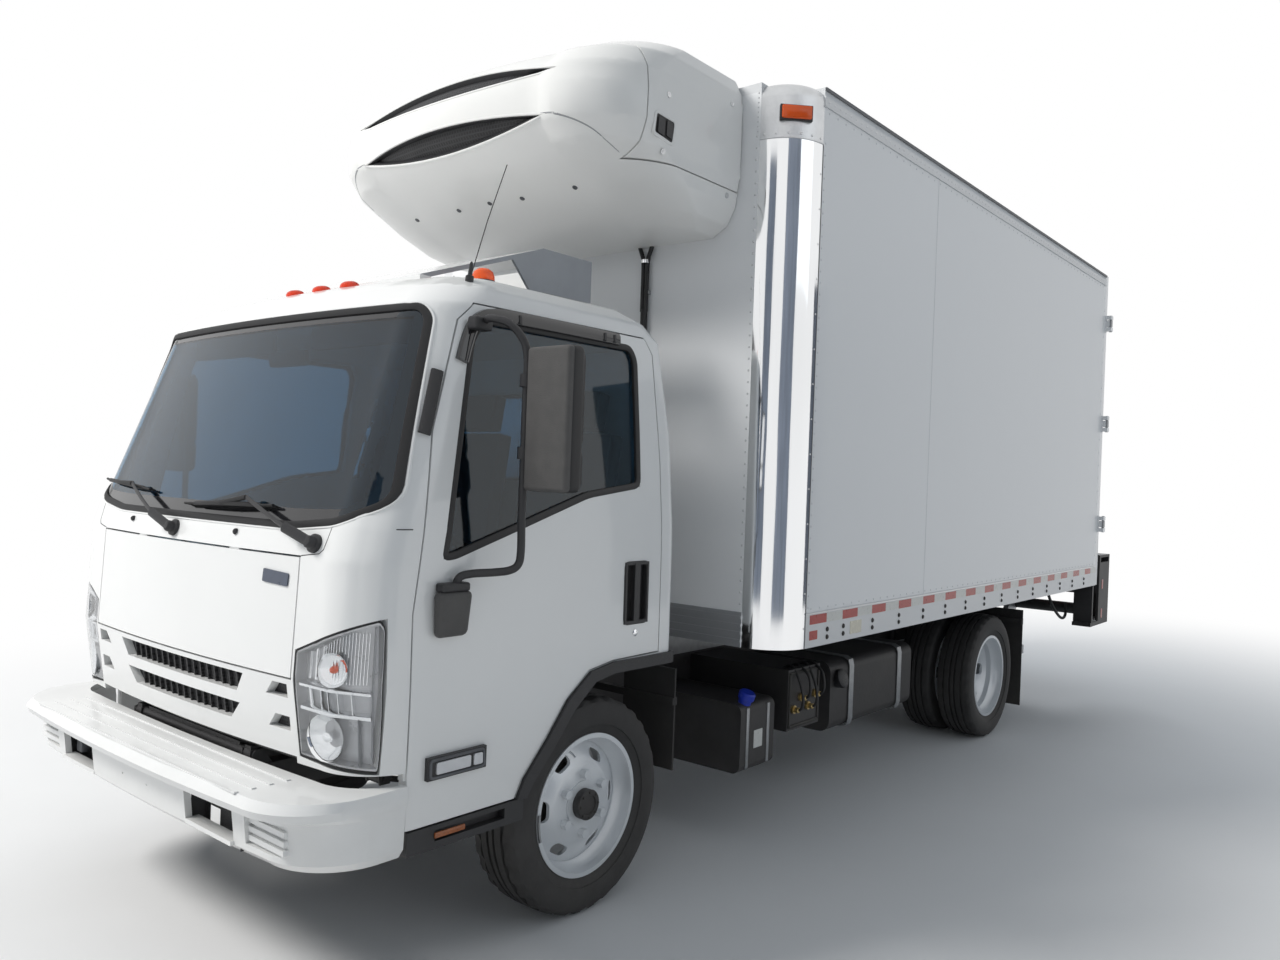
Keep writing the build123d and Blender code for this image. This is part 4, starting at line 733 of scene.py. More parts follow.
def tyre(name, x, y, body, node):
    """A tyre with ribs across its tread and rings on its side. Every third step is drawn in at the
    shoulders' points of the section."""
    half = [(-0.0885, 0.262), (-0.099, 0.285), (-0.1035, 0.300), (-0.1085, 0.301), (-0.1105, 0.312),
            (-0.1125, 0.335), (-0.1115, 0.352), (-0.108, 0.368), (-0.1065, 0.372), (-0.104, 0.384),
            (-0.098, 0.391), (-0.094, 0.3965), (-0.092, 0.3975), (-0.062, 0.4015), (-0.061, 0.391),
            (-0.051, 0.391), (-0.050, 0.402), (-0.021, 0.403), (-0.020, 0.391), (-0.010, 0.391),
            (-0.009, 0.403)]
    section = half + [(-a, r) for a, r in reversed(half)]
    verts, faces = lathe(section, (x, y, AXLE_Z), X, TYRE_STEPS)
    for i in range(0, TYRE_STEPS, 3):
        for j in SHOULDERS:
            v = verts[i * len(section) + j]
            verts[i * len(section) + j] = v - Vector((0, v.y - y, v.z - AXLE_Z)).normalized() * 0.009
    pair(name, (verts, faces), RUBBER, body, 38, replaces=node)


def wheels():
    """Tyres, the front hubs' dark caps with their screws, valves and balance weights."""
    tyre("tyre_front", 0.832, 0, "{}_front_wheel", "front_tire_{}")
    tyre("tyre_rear_outer", 0.956, WHEELBASE, "{}_rear_wheels", "rear_tires_{}")
    tyre("tyre_rear_inner", 0.694, WHEELBASE, "{}_rear_wheels", "rear_tires_{}")
    cap = lathe([(0, 0.057), (0.003, 0.055), (0.005, 0.045), (0.005, 0.036), (-0.012, 0.030),
                 (-0.012, 0.0001)], (0.930, 0, AXLE_Z), X, 40)
    pair("hub_cap_front", cap, CHASSIS, "{}_front_wheel", 40)
    turns = [math.pi / 4 * i for i in range(8)]
    places = [(0.934, 0.047 * math.cos(a), AXLE_Z + 0.047 * math.sin(a)) for a in turns]
    pair("hub_screws_front", nuts(places, X, 0.0045, 0.004), IRON, "{}_front_wheel", 40)
    valve = [(0.862, -0.06, 0.608), (0.884, -0.058, 0.601), (0.904, -0.055, 0.587)]
    pair("valve_front", tube(smooth_path(valve), 0.004), CHROME, "{}_front_wheel", 40)
    weight = lathe([(0.094, 0.252), (0.101, 0.256), (0.101, 0.264), (0.094, 0.266)],
                   (0.832, 0, AXLE_Z), X, 6, start=130, turn=22)
    pair("balance_weight", weight, GALVANISED, "{}_front_wheel", 40)


wheels()


# Looks of single faces of the CAD nodes

for side, word in MIRRORED:
    tint(f"door_{word}", PLASTIC, lambda w, y, z, x: 0.072 < y < 0.217 and 1.078 < z < 1.317 and w > 0.975)
    tint(f"door_{word}", PLASTIC, lambda w, y, z, x: -0.84 < y < -0.595 and 0.684 < z < 0.762 and w > 1.003)
    tint(f"front_wheel_{word}", CHASSIS, lambda w, y, z, x: w > 0.895 and math.hypot(y, z - AXLE_Z) < 0.058)
    tint(f"box_door_{word}", GALVANISED, lambda w, y, z, x: y > BACK + 0.0012)
tint("box_side_walls", RAIL_WHITE, lambda w, y, z, x: w > 1.2195)
# The front wall's lower rail is grey aluminium whose darker tone is partly painted shade.
tint("box_front_wall", RAIL_GREY_SHADED, lambda w, y, z, x: z < 1.066 and y < 0.856)
# The fuel tank in side_units keeps the black chassis look, which is painted shade.
tint("side_units", GALVANISED, lambda w, y, z, x: x < -0.44 and y > 1.25)
tint("dashboard", PLASTIC, lambda w, y, z, x: z > 1.24)
tint("roof_deflector", GREY_PANEL, lambda w, y, z, x: w > 0.505 and z > 2.36)
tint("lift_frame", GALVANISED, lambda w, y, z, x: z > 1.055 and w < 1.05)
tint("rear_frame", RAIL_WHITE, lambda w, y, z, x: z < 1.12)


# The cab's windows, seams, wipers and visors

SCREEN = [(-0.955, 1.535), (-0.820, 1.470), (-0.600, 1.447), (0.600, 1.447), (0.820, 1.470),
          (0.955, 1.535), (0.868, 2.120), (0.835, 2.158), (-0.835, 2.158), (-0.868, 2.120)]
SIDE_WINDOW = [(0.166, 1.600), (0.172, 2.090), (0.140, 2.138), (-0.600, 2.138), (-0.660, 2.070),
               (-0.712, 1.800), (-0.790, 1.362), (-0.745, 1.364), (-0.125, 1.560)]


def on_back(x, z, out):
    """A point on the cab's back wall, which leans forward at the top."""
    return Vector((x, 0.399 - 0.13 * max(0, z - 1.8) + out, z))


def glazing():
    """Seals of the windows, and the black printed border on the windscreen, broader at the bottom."""
    screen = rounded(SCREEN, 0.05)
    add("windscreen_seal", band(screen, bead(-0.012, 0.010, -0.006, 0.0045), on_front), SEAL, "cab", 50)
    lip = band(grown(screen, 0.014), bead(-0.003, 0.003, -0.001, 0.003), on_front)
    add("windscreen_lip", lip, CAB_WHITE, "cab", 50)
    inner = [(x * 0.955, 2.125 if z > 2.1 else max(z + 0.012, 1.502 + 0.07 * max(0, abs(x) - 0.62) ** 1.5))
             for x, z in grown(screen, -0.010)]
    border = sweep([[on_front(*a, -0.0052), on_front(*b, -0.0052), on_front(*b, -0.0057),
                     on_front(*a, -0.0057)] for a, b in zip(grown(screen, -0.002), inner)], closed=True)
    add("windscreen_border", border, GLOSS_BLACK, "cab")
    window = band(rounded(SIDE_WINDOW, 0.035), bead(-0.018, 0.007, -0.012, 0.003), on_side)
    pair("side_window_seal", window, SEAL, "{}_door", 40)
    back = band(pane(-0.48, 0.48, 1.60, 1.99, 0.05), bead(-0.014, 0.014, -0.002, 0.006), on_back)
    add("back_window_seal", back, SEAL, "cab", 50)


def seams():
    """Hairlines at the cowl's ends, up to the windscreen's corners, and at the pillars' feet."""
    points = line((0.696, 1.361), (0.775, 1.372), 4) + line((0.79, 1.385), (0.80, 1.455), 4)
    cowl = strip(points, 0.0016, -0.001, 0.0006, on_front)
    pillar = strip([(y, 1.455) for y in (-0.95, -0.93, -0.91, -0.903)], 0.0016, -0.001, 0.0006, on_side)
    for number, side in ((0, -1), (2, 1)):
        add(f"cowl_seam_{number}", mirrored(cowl, side), SEAL, "cab", 50)
        add(f"pillar_seam_{number}", mirrored(pillar, side), SEAL, "cab", 50)


def wiper(number, pivot, elbow, blade_in, blade_out):
    """A wiper that parks along the bottom of the windscreen."""
    base = on_front(*pivot)
    normal = on_front(*pivot, 1) - base
    boss = lathe([(-0.004, 0.030), (0.010, 0.029), (0.014, 0.021), (0.030, 0.019), (0.036, 0.014),
                  (0.037, 0.0001)], base, normal, 28)
    add(f"wiper_boss_{number}", boss, PLASTIC, "cab", 40)
    start = on_front(*pivot, 0.026)
    middle = on_front(*Vector(pivot).lerp(Vector(elbow), 0.28), 0.048)
    end = on_front(*elbow, 0.030)
    root = tube(smooth_path([start, start.lerp(middle, 0.6), middle], 4), 0.017, 12, flat=0.55,
                up=normal.orthogonal())
    rod = tube(smooth_path([middle, middle.lerp(end, 0.5) + normal * 0.004, end]), 0.008, flat=0.6)
    add(f"wiper_arm_{number}", [root, rod], PLASTIC, "cab", 50)
    low = [on_front(*p) for p in line(blade_in, blade_out, 16)]
    high = [p + normal * 0.0155 for p in low]
    arch = [high[2], high[5] + normal * 0.012, high[8] + normal * 0.016, high[11] + normal * 0.012, high[14]]
    blade = [tube([p + normal * 0.003 for p in low], 0.0085, 8, flat=0.35, up=normal),
             tube(high, 0.0065, 8, flat=0.7, up=normal),
             tube(smooth_path(arch, 4), 0.0055, 8, flat=1.4, up=normal),
             tube([end, high[8] + normal * 0.018], 0.0085, 8)]
    add(f"wiper_blade_{number}", blade, SEAL, "cab", 50)


def visors():
    """Rain visor over each door's glass, its clips, and the black piece on each front pillar."""
    path = [(-0.705, 1.985), (-0.682, 2.05), (-0.655, 2.105), (-0.615, 2.139), (-0.56, 2.151),
            (-0.4, 2.153), (-0.2, 2.153), (0.0, 2.152), (0.06, 2.151)]
    pair("rain_visor", strip(smooth_path(path, 4), 0.021, 0.001, 0.019, on_side), GLOSS_BLACK, "{}_door", 50)
    clips = [strip([(y, 2.135), (y, 2.164)], 0.009, 0.0, 0.023, on_side) for y in (-0.458, -0.028, 0.027)]
    pair("visor_clips", clips, PLASTIC, "{}_door", 40)
    vane = smooth_path([(-0.844, 1.745), (-0.812, 1.85), (-0.783, 1.945)], 5)
    pair("pillar_vane", strip(vane, 0.017, 0.0, 0.018, on_side), PLASTIC, "cab", 50)


glazing()
seams()
wiper(0, (0.745, 1.400), (0.36, 1.515), (0.50, 1.500), (-0.04, 1.483))
wiper(1, (-0.085, 1.398), (-0.51, 1.532), (-0.36, 1.519), (-0.87, 1.545))
nozzles = [on_front(x, 1.41, 0.002) for x in (-0.45, 0.32)]
add("washer_nozzles", dots(nozzles, (0, -0.94, 0.33), 0.011, 0.009, 12), PLASTIC, "cab", 50)
visors()


# The cab's lamps, mirrors and small pieces

def lamp_top(s):
    """The height of the lamp opening's sloping upper edge at a way round the corner."""
    x = 0.80 * s if s <= 1 else 0.80 + 0.20 * math.sin(math.radians(90 * (s - 1)))
    return 1.078 + (x - 0.705) * 0.116 / 0.28


LAMP_EDGE = [(0.884, 0.753), (1.625, 0.735), (1.664, 0.80), (1.742, 0.985), (1.720, 1.165)]
LAMP_EDGE += [(s, lamp_top(s) - 0.003) for s in (1.665, 1.55, 1.40, 1.25, 1.10, 0.99, 0.886)]


def headlamps():
    """Clear lens over a lined chamber with fins, a row of cells, a faceted reflector and an amber bulb."""
    outline = rounded(LAMP_EDGE, [0.012, 0.02, 0.05, 0.09] + [0.02] * 7 + [0.012], 0.05)
    wall = [(-0.010, -0.041), (-0.010, -0.004), (-0.004, -0.004), (-0.004, -0.041)]
    case = [plate(grown(outline, -0.004), on_corner, -0.041, -0.040, 6), band(outline, wall, on_corner)]
    pair("lamp_case", case, LAMP_GREY, "cab", 35)
    pair("lamp_seal", band(outline, bead(-0.003, 0.005, -0.010, -0.0005), on_corner), SEAL, "cab", 40)
    pair("lamp_glass", plate(grown(outline, -0.003), on_corner, -0.005, -0.0015, 8), LENS, "cab", 50)
    inside = []
    for k in range(18):
        s = 0.93 + k * 0.038
        fin = [(s, 0.995), (s, min(1.165, lamp_top(s)) - 0.018)]
        inside.append(strip(fin, 0.006, -0.040, -0.030, on_corner))
    inside += [strip([(0.905, 0.975), (1.2, 0.972), (1.62, 0.966)], 0.008, -0.040, -0.010, on_corner),
               strip([(0.905, 0.905), (1.2, 0.900), (1.60, 0.894)], 0.010, -0.040, -0.008, on_corner)]
    inside += [strip([(s, 0.905), (s, 0.97)], 0.008, -0.040, -0.014, on_corner)
               for s in (0.96, 1.05, 1.15, 1.27, 1.42)]
    pair("lamp_inside", inside, CHROME, "cab", 35)
    edge = [(1.575, 0.76), (1.62, 0.90), (1.645, 1.00), (1.635, 1.165)]
    strips = [strip(edge, 0.012, -0.040, -0.006, on_corner),
              strip([(1.44, 0.75), (1.47, 0.89)], 0.008, -0.040, -0.012, on_corner)]
    pair("lamp_side_strip", strips, GREY_PANEL, "cab", 40)
    main = (on_corner(1.08, 0.825, -0.012), (0.25, -1, 0))
    upper = (on_corner(1.20, 1.035, -0.014), (0.5, -1, 0))
    for name, profile, spot, steps, look, smooth in (
            ("lamp_reflector", [(0.004, 0.072), (0.0, 0.068), (-0.012, 0.060), (-0.030, 0.040),
                                (-0.040, 0.018), (-0.041, 0.0001)], main, 20, CHROME, 18),
            ("lamp_bulb", [(-0.040, 0.009), (-0.012, 0.009), (-0.005, 0.006), (-0.003, 0.0001)],
             main, 16, LENS, 50),
            ("lamp_hood", [(-0.014, 0.016), (-0.004, 0.015), (-0.002, 0.008), (-0.002, 0.0001)],
             main, 20, CHROME, 40),
            ("indicator_reflector", [(0.0, 0.052), (-0.010, 0.044), (-0.020, 0.026), (-0.024, 0.010),
                                     (-0.024, 0.0001)], upper, 20, CHROME, 18),
            ("indicator_bulb", [(-0.024, 0.008), (-0.012, 0.012), (-0.002, 0.009), (0.002, 0.0001)],
             upper, 20, AMBER, 50)):
        pair(name, lathe(profile, *spot, steps), look, "cab", smooth)


def roof_lamps():
    """Marker lamps on the roof's front edge, the beacon and the whip antenna."""
    for number, x in enumerate((-0.185, 0.0, 0.185)):
        spot = ((x, -0.612, 2.297), (0, -0.16, 1), 28)
        ring = lathe([(0.0, 0.043), (0.006, 0.042), (0.008, 0.038), (0.008, 0.032)], *spot)
        add(f"marker_base_{number}", ring, CAST, "cab", 40)
        dome = lathe([(0.006, 0.037), (0.016, 0.036), (0.025, 0.030), (0.031, 0.018), (0.033, 0.0001)], *spot)
        add(f"marker_lens_{number}", dome, RED_AMBER, "cab", 50, replaces="cab_lamps")
    base = on_roof(0.66, -0.376, 0.006)
    foot = lathe([(0.0, 0.050), (0.012, 0.050), (0.016, 0.046), (0.020, 0.043)], base, Z, 32)
    add("beacon_base", foot, PLASTIC, "cab", 40)
    dome = [(0.018, 0.042), (0.036, 0.041), (0.052, 0.035), (0.063, 0.021), (0.067, 0.0001)]
    add("beacon_lens", lathe(dome, base, Z, 32), AMBER, "cab", 50)
    foot = on_roof(0.83, -0.585, 0.004)
    tip = Vector((0.66, -0.281, 2.771))
    mast = tube([foot, foot.lerp(tip, 0.5) - Vector((0, 0.006, 0)), tip], 0.0020, 8)
    spring = [(0.0, 0.014), (0.02, 0.014), (0.024, 0.008), (0.06, 0.006), (0.07, 0.003)]
    add("antenna", [mast, lathe(spring, foot, (0.02, 0.1, 1), 16)], PLASTIC, "cab", 50)


def drawn_in(p):
    """A point of the mirror's base, which tapers downward."""
    share = max(0.0, (1.266 - p.z) / 0.142)
    return Vector((1.0035 + (p.x - 1.0035) * (1 - 0.35 * share ** 3),
                   -0.768 + (p.y + 0.768) * (1 - 0.10 * share ** 2), p.z))


def crowned(p):
    """A point of the mirror's head, whose front is domed."""
    across = (p.x - 1.2275) / 0.0955
    up = (p.z - 1.8075) / 0.2275
    full = max(0.0, 1 - across * across) * max(0.0, 1 - up ** 4)
    return Vector((p.x, p.y - 0.008 * full if p.y < -0.585 else p.y, p.z))


def on_head(x, z, out):
    """A point on the rear face of the mirror's head."""
    return Vector((x, -0.524 + out, z))


def mirrors():
    """Mirror heads with round edges on arms of bent tube, their bases, glasses and clamps."""
    route = [(0.962, -0.632, 2.118), (1.020, -0.648, 2.124), (1.085, -0.622, 2.102), (1.114, -0.580, 2.030),
             (1.115, -0.576, 1.90), (1.115, -0.576, 1.70), (1.115, -0.576, 1.50), (1.115, -0.574, 1.385),
             (1.112, -0.582, 1.345), (1.100, -0.606, 1.328), (1.078, -0.650, 1.322),
             (1.045, -0.712, 1.318), (1.028, -0.745, 1.308), (1.022, -0.757, 1.280)]
    arm = [tube(smooth_path(route, 7), 0.013, 14),
           soft_box((0.945, 0.992), (-0.686, -0.612), (2.088, 2.132), 0.010),
           soft_box((1.0035, 1.046), (-0.822, -0.714), (1.264, 1.292), 0.008)]
    base = soft_box((1.0035, 1.050), (-0.832, -0.703), (1.124, 1.266), 0.018, drawn_in)
    head = soft_box((1.134, 1.321), (-0.598, -0.566), (1.582, 2.033), 0.014, crowned)
    # The rim makes the head's sides and back in near-black seal rubber against the grey front: painted shade
    # on the head's sides.
    rim = soft_box((1.132, 1.325), (-0.584, -0.524), (1.580, 2.035), 0.020)
    for name, shapes, look in (("arm", arm, PLASTIC), ("base", base, GRAINED), ("head", head, GRAINED),
                               ("rim", rim, SEAL)):
        pair(f"mirror_{name}", shapes, look, "{}_door", 60, replaces="mirror_{}")
    panes = [pane(1.150, 1.307, 1.73, 2.012, 0.018), pane(1.150, 1.307, 1.600, 1.712, 0.018)]
    pair("mirror_glass", [plate(loop, on_head, -0.001, 0.003) for loop in panes], MIRROR, "{}_door")
    rims = [band(loop, bead(-0.002, 0.008, -0.001, 0.007), on_head) for loop in panes]
    pair("mirror_glass_rim", rims, PLASTIC, "{}_door", 40)
    clamps = [collar(0.015, 0.021, 0.020, (1.115, -0.577, z), Z) for z in (1.70, 1.93)]
    pair("mirror_clamps", clamps, PLASTIC, "{}_door", 40)


def on_side_lamp(y, z, out):
    return on_side(y, z, 0.016 + out)


def small_cab_pieces():
    """The lid's blank plate, side lamps, step markers, the door handles' rims and locks, and bumper pockets
    whose black walls are painted shade inside them.
    """
    blank = rounded([(0.515, 1.268), (0.645, 1.262), (0.648, 1.302), (0.518, 1.309)], 0.006)
    add("lid_plate", plate(blank, on_front, 0.0, 0.004), BADGE_BLUE, "lid", 40)
    rim = rounded([(-0.826, 0.694), (-0.606, 0.694), (-0.612, 0.752), (-0.826, 0.752)], 0.012)
    rim = band(rim, bead(-0.007, 0.003, -0.006, 0.004), on_side_lamp)
    pair("side_lamp_rim", rim, RAIL_DARK, "{}_door", 40)
    cells = [pane(-0.804, -0.668, 0.705, 0.741, 0.006),
             rounded([(-0.655, 0.705), (-0.618, 0.705), (-0.620, 0.741), (-0.655, 0.741)], 0.006)]
    lenses = [plate(cell, on_side_lamp, 0.0, 0.005) for cell in cells]
    pair("side_lamp_lens", lenses, LAMP_GREY, "{}_door", 40)
    pair("step_marker", brick((1.002, 1.010), (-0.79, -0.67), (0.502, 0.520)), DULL_AMBER, "cab", bevel=0.003)
    bezel = band(pane(0.078, 0.212, 1.082, 1.313, 0.022), bead(-0.010, 0.005, -0.004, 0.004), on_side)
    pair("handle_bezel", bezel, PLASTIC, "{}_door", 40)
    pair("door_lock", dots([(1.006, 0.145, 1.045)], X, 0.013, 0.004, 20), CHROME, "{}_door", 40)
    # Black walls inside the bumper's openings: painted shade of the pockets' insides.
    walls = bricks([(0.330, 0.3595), (0.4255, 0.645)], (-1.173, -1.170), (0.455, 0.640))
    walls += bricks([(0.642, 0.645), (0.330, 0.333)], (-1.222, -1.173), (0.480, 0.640))
    pair("shaded_bumper_pocket", walls, PLASTIC)
    pair("bumper_stay", brick((0.56, 0.61), (-1.205, -1.173), (0.520, 0.600)), RAIL_DARK, bevel=0.006)


headlamps()
roof_lamps()
mirrors()
small_cab_pieces()


# Seats, steering wheel and dash

def cushion(name, x, y, z, depth, lean=0.0, bulge=0.02, panels=1):
    """A padded block with soft edges, side bolsters and stitched channels."""
    bm = bmesh.new()
    bmesh.ops.create_cube(bm, size=1.0)
    bmesh.ops.subdivide_edges(bm, edges=bm.edges, cuts=9, use_grid_fill=True)
    for v in bm.verts:
        u, w, h = v.co * 2
        puff = (1 - u ** 4) * (1 - w ** 4)
        channel = 0.5 - 0.5 * math.cos(2 * math.pi * panels * (u + 1) / 2)
        sink = 0.35 + 0.65 * channel ** 0.35
        side = 1 + 0.5 * max(0.0, abs(u) - 0.65) / 0.35
        lift = bulge * puff * sink * (1 if h > 0 else -0.2) * side
        v.co = Vector((u * (x[1] - x[0]) / 2, w * (y[1] - y[0]) / 2, h * depth / 2 + lift))
    bmesh.ops.rotate(bm, verts=bm.verts, cent=(0, 0, 0), matrix=Matrix.Rotation(lean, 3, "X"))
    bmesh.ops.translate(bm, verts=bm.verts, vec=Vector(((x[0] + x[1]) / 2, (y[0] + y[1]) / 2, z)) + TO_FRAME)
    mesh = bpy.data.meshes.new(name)
    bm.to_mesh(mesh)
    bm.free()
    obj = bpy.data.objects.new(name, mesh)
    bpy.context.scene.collection.objects.link(obj)
    soften = obj.modifiers.new("round", "BEVEL")
    soften.width = 0.022
    soften.segments = 3
    soften.limit_method = "ANGLE"
    soften.angle_limit = math.radians(50)
    dress(obj, CLOTH, "cab", 60)
    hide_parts("seats")


def seats():
    for word, x0, x1 in (("driver", 0.305, 0.825), ("middle", -0.300, 0.175), ("outer", -0.835, -0.325)):
        middle = (x0 + x1) / 2
        cushion(f"seat_cushion_{word}", (x0, x1), (-0.295, 0.175), 1.228, 0.10, panels=3)
        cushion(f"seat_back_{word}", (x0 + 0.02, x1 - 0.02), (-0.085, 0.455), 1.535, 0.075,
                math.radians(81), 0.018, 3)
        cushion(f"head_rest_{word}", (middle - 0.12, middle + 0.12), (0.185, 0.345), 1.90, 0.07,
                math.radians(80), 0.012)
        posts = [tube([(a, 0.262, 1.78), (a, 0.272, 1.86)], 0.007) for a in (middle - 0.06, middle + 0.06)]
        add(f"rest_posts_{word}", posts, CHROME, "cab", 50)
    for name, x, y, z, bevel in (
            ("seat_box_driver", (0.342, 0.800), (-0.22, 0.20), (0.9856, 1.172), 0.012),
            ("seat_box_bench", (-0.810, -0.342), (-0.22, 0.20), (0.9856, 1.172), 0.012),
            ("seat_pan", (-0.338, 0.300), (-0.24, 0.17), (1.1605, 1.176), 0.004)):
        add(name, brick(x, y, z), DASH, "cab", bevel=bevel, replaces="seats")


def dash_details():
    """Instrument hood, column stalks, centre stack with vents, inner mirror and sun visors."""
    hood = rounded([(0.36, 1.185), (0.78, 1.185), (0.74, 1.285), (0.40, 1.285)], 0.03)
    add("gauge_hood", prism(hood, -0.90, -0.735), DASH, "cab", 40, 0.006)
    face = prism([(0.40, 1.195), (0.74, 1.195), (0.71, 1.265), (0.43, 1.265)], -0.7355, -0.7335)
    add("gauge_face", face, GLOSS_BLACK, "cab")
    ring = [(0.0, 0.034), (0.003, 0.034), (0.003, 0.030), (0.0, 0.030)]
    rings = [lathe(ring, (x, -0.7335, 1.232), Y, 28) for x in (0.49, 0.65)]
    add("gauge_rings", rings, CHROME, "cab", 40)
    stalks = [tube(smooth_path([(0.56 + d * 0.03, -0.665, 1.345), (0.56 + d * 0.12, -0.66, 1.362),
                                (0.56 + d * 0.16, -0.655, 1.375)], 4), 0.008) for d in (-1, 1)]
    add("stalks", stalks, PLASTIC, "cab", 50)
    vents = bricks([(-0.18, -0.06), (0.06, 0.18)], (-0.699, -0.694), row(1.085, 0.012, 6, 0.006))
    vents += bricks((-0.16, 0.16), (-0.6995, -0.695), row(1.035, 0.016, 3, 0.010))
    add("dash_vents", vents, PLASTIC, "cab")
    tilt = Matrix.Rotation(math.radians(-28), 3, "X")
    turns = [2 * math.pi * k / 48 for k in range(48)]
    grip = [Vector((0.56, -0.56, 1.40)) + tilt @ Vector((0.205 * math.cos(a), 0.205 * math.sin(a), 0))
            for a in turns]
    add("steering_grip", tube(grip, 0.0165, 12, closed=True), SEAL, "cab", 60)
    add("inner_mirror", prism(pane(-0.12, 0.12, 2.0, 2.06, 0.02), -0.745, -0.725), PLASTIC, "cab", 40)
    pair("sun_visor", prism(pane(0.13, 0.74, 2.055, 2.14, 0.03), -0.725, -0.708), DASH, "cab", 40)


seats()
dash_details()


# Box body: rivets, seams, tape, lamps and hoses

def side_rivets():
    """Rows of small rivet heads on the front wall, the sides and the roof rails."""
    front = [(x, FRONT_WALL, 1.10 + 0.051 * k) for x in (-1.005, 1.005) for k in range(41)]
    front += [(x, FRONT_WALL, 1.10 + 0.102 * k) for x in (-0.40, 0.40) for k in range(17)]
    add("front_rivets", dots(front, (0, -1, 0), 0.0055, 0.003), ALUMINIUM, smooth=60)
    wall = [(1.219, 1.072, 1.09 + 0.051 * k) for k in range(41)]
    wall += [(1.219, 1.10 + 0.0762 * k, z) for z in (3.268, 1.083) for k in range(59)]
    wall += [(1.219, BACK - 0.085, 1.15 + 0.102 * k) for k in range(21)]
    pair("side_rivets", dots(wall, X, 0.005, 0.0025), BOX_RIVET, smooth=60)
    rail = [(1.223, 1.09 + 0.0508 * k, 3.315) for k in range(88)]
    pair("rail_rivets", dots(rail, X, 0.0055, 0.003), ALUMINIUM, smooth=60)
    post = [(1.2195, 1.042, 1.00 + 0.153 * k) for k in range(14)]
    pair("post_rivets", dots(post, X, 0.004, 0.002), CAST, smooth=60)


def side_strips():
    """Edges, seams, reflective tape, reflectors and pairs of bolts along the sides."""
    for name, x, y, z, look in (
            ("rail_edge", (1.2225, 1.2265), RAIL_Y, (3.357, 3.372), RAIL_DARK),
            ("rail_lip", (1.2225, 1.2255), RAIL_Y, (3.288, 3.296), RAIL_WHITE),
            ("rail_top", (RAIL_X, 1.2265), RAIL_Y, (1.059, 1.066), ALUMINIUM),
            ("panel_seam", (1.2185, 1.2200), (2.30, 2.3018), (1.066, 3.287), BOX_RIVET),
            ("post_edge", (1.2180, 1.2205), (1.0525, 1.0565), (0.912, 3.12), RAIL_DARK),
            ("rail_reflector", (RAIL_X, 1.2252), (1.466, 1.58), (0.936, 0.996), PALE_AMBER)):
        pair(name, brick(x, y, z), look)
    tape = (RAIL_X, 1.2252)
    red = bricks(tape, row(1.085, 0.301, 15, 0.150), (1.014, 1.055))
    red.append(brick(tape, (1.085, 1.155), (0.945, 0.985)))
    pair("tape_red", red, TAPE_RED)
    pair("tape_pale", bricks(tape, row(1.2355, 0.301, 15, 0.150), (1.014, 1.055)), TAPE_WHITE)
    places = [1.245] + [1.398 + 0.2985 * k for k in range(14)]
    bolts = [(RAIL_X, y, z) for y in places for z in (0.946, 0.981)]
    pair("rail_bolts", nuts(bolts, X, 0.0095, 0.006), IRON)


def cap_details():
    """Seam, rivets and amber lamp of the cast caps."""
    facing = Vector((0.72, -0.70, 0.0)).normalized()
    along = Vector((-facing.y, facing.x, 0))
    for name, w, h, d, look, bevel in (("cap_lamp_base", 0.072, 0.034, (-0.012, 0.008), PLASTIC, 0.003),
                                       ("cap_lamp", 0.066, 0.028, (0.006, 0.022), AMBER, 0.006)):
        verts, faces = brick((-w, w), (-h, h), d)
        turned = [Vector((1.162, 0.914, 3.228)) + along * a + Vector(Z) * b + facing * c for a, b, c in verts]
        pair(name, (turned, faces), look, bevel=bevel)
    turns = [math.radians(90 * k / 16) for k in range(17)]
    lip = [(1.019 + 0.2015 * math.sin(a), 1.054 - 0.2015 * math.cos(a), 3.123) for a in turns]
    pair("cap_lip", tube(lip, 0.0032, 6), CAST, smooth=60)
    for side, word in MIRRORED:
        heads = []
        for k in range(6):
            a = math.radians(6 + 15.6 * k)
            out = Vector((side * math.sin(a), -math.cos(a), 0))
            heads += dots([Vector((side * 1.019, 1.054, 3.142)) + out * 0.2003], out, 0.006, 0.003, 8)
        add(f"cap_rivets_{word}", heads, CAST, smooth=60)
        column = [(side * 1.007, 0.8535, 3.14 + 0.021 * k) for k in range(10)]
        add(f"cap_side_rivets_{word}", dots(column, (0, -1, 0), 0.004, 0.0025), ALUMINIUM, smooth=60)


def front_wall_pieces():
    """The hoses that drop from the unit, with their clamp, and the wall's drain tube."""
    drop = ((0.043, 2.768), (0.041, 2.735), (0.027, 2.70), (0.0125, 2.665), (0.0112, 2.60), (0.0112, 2.50),
            (0.0112, 2.42))
    for side, word in MIRRORED:
        hose(f"wall_hose_{word}", [(0.415 + side * x, 0.836, z) for x, z in drop], 0.021)
    drain = [(0.416, 0.836, 2.43), (0.417, 0.836, 2.3), (0.417, 0.832, 2.1), (0.416, 0.830, 1.7),
             (0.41, 0.834, 1.3), (0.40, 0.83, 1.0), (0.39, 0.80, 0.80)]
    hose("wall_drain", drain, 0.034)
    add("hose_clamp", collar(0.014, 0.022, 0.008, (0.4155, 0.836, 2.655), Z), CHROME, smooth=40)
    stays = bricks((0.392, 0.440), (0.836, 0.8545), [(z, z + 0.02) for z in (1.35, 1.75, 2.15, 2.5)])
    add("hose_stays", stays, GALVANISED, bevel=0.003)
    add("unit_drip_bar", brick((0.20, 0.55), (0.842, 0.8545), (2.756, 2.768)), SEAL)


side_rivets()
side_strips()
cap_details()
front_wall_pieces()


# Refrigeration unit

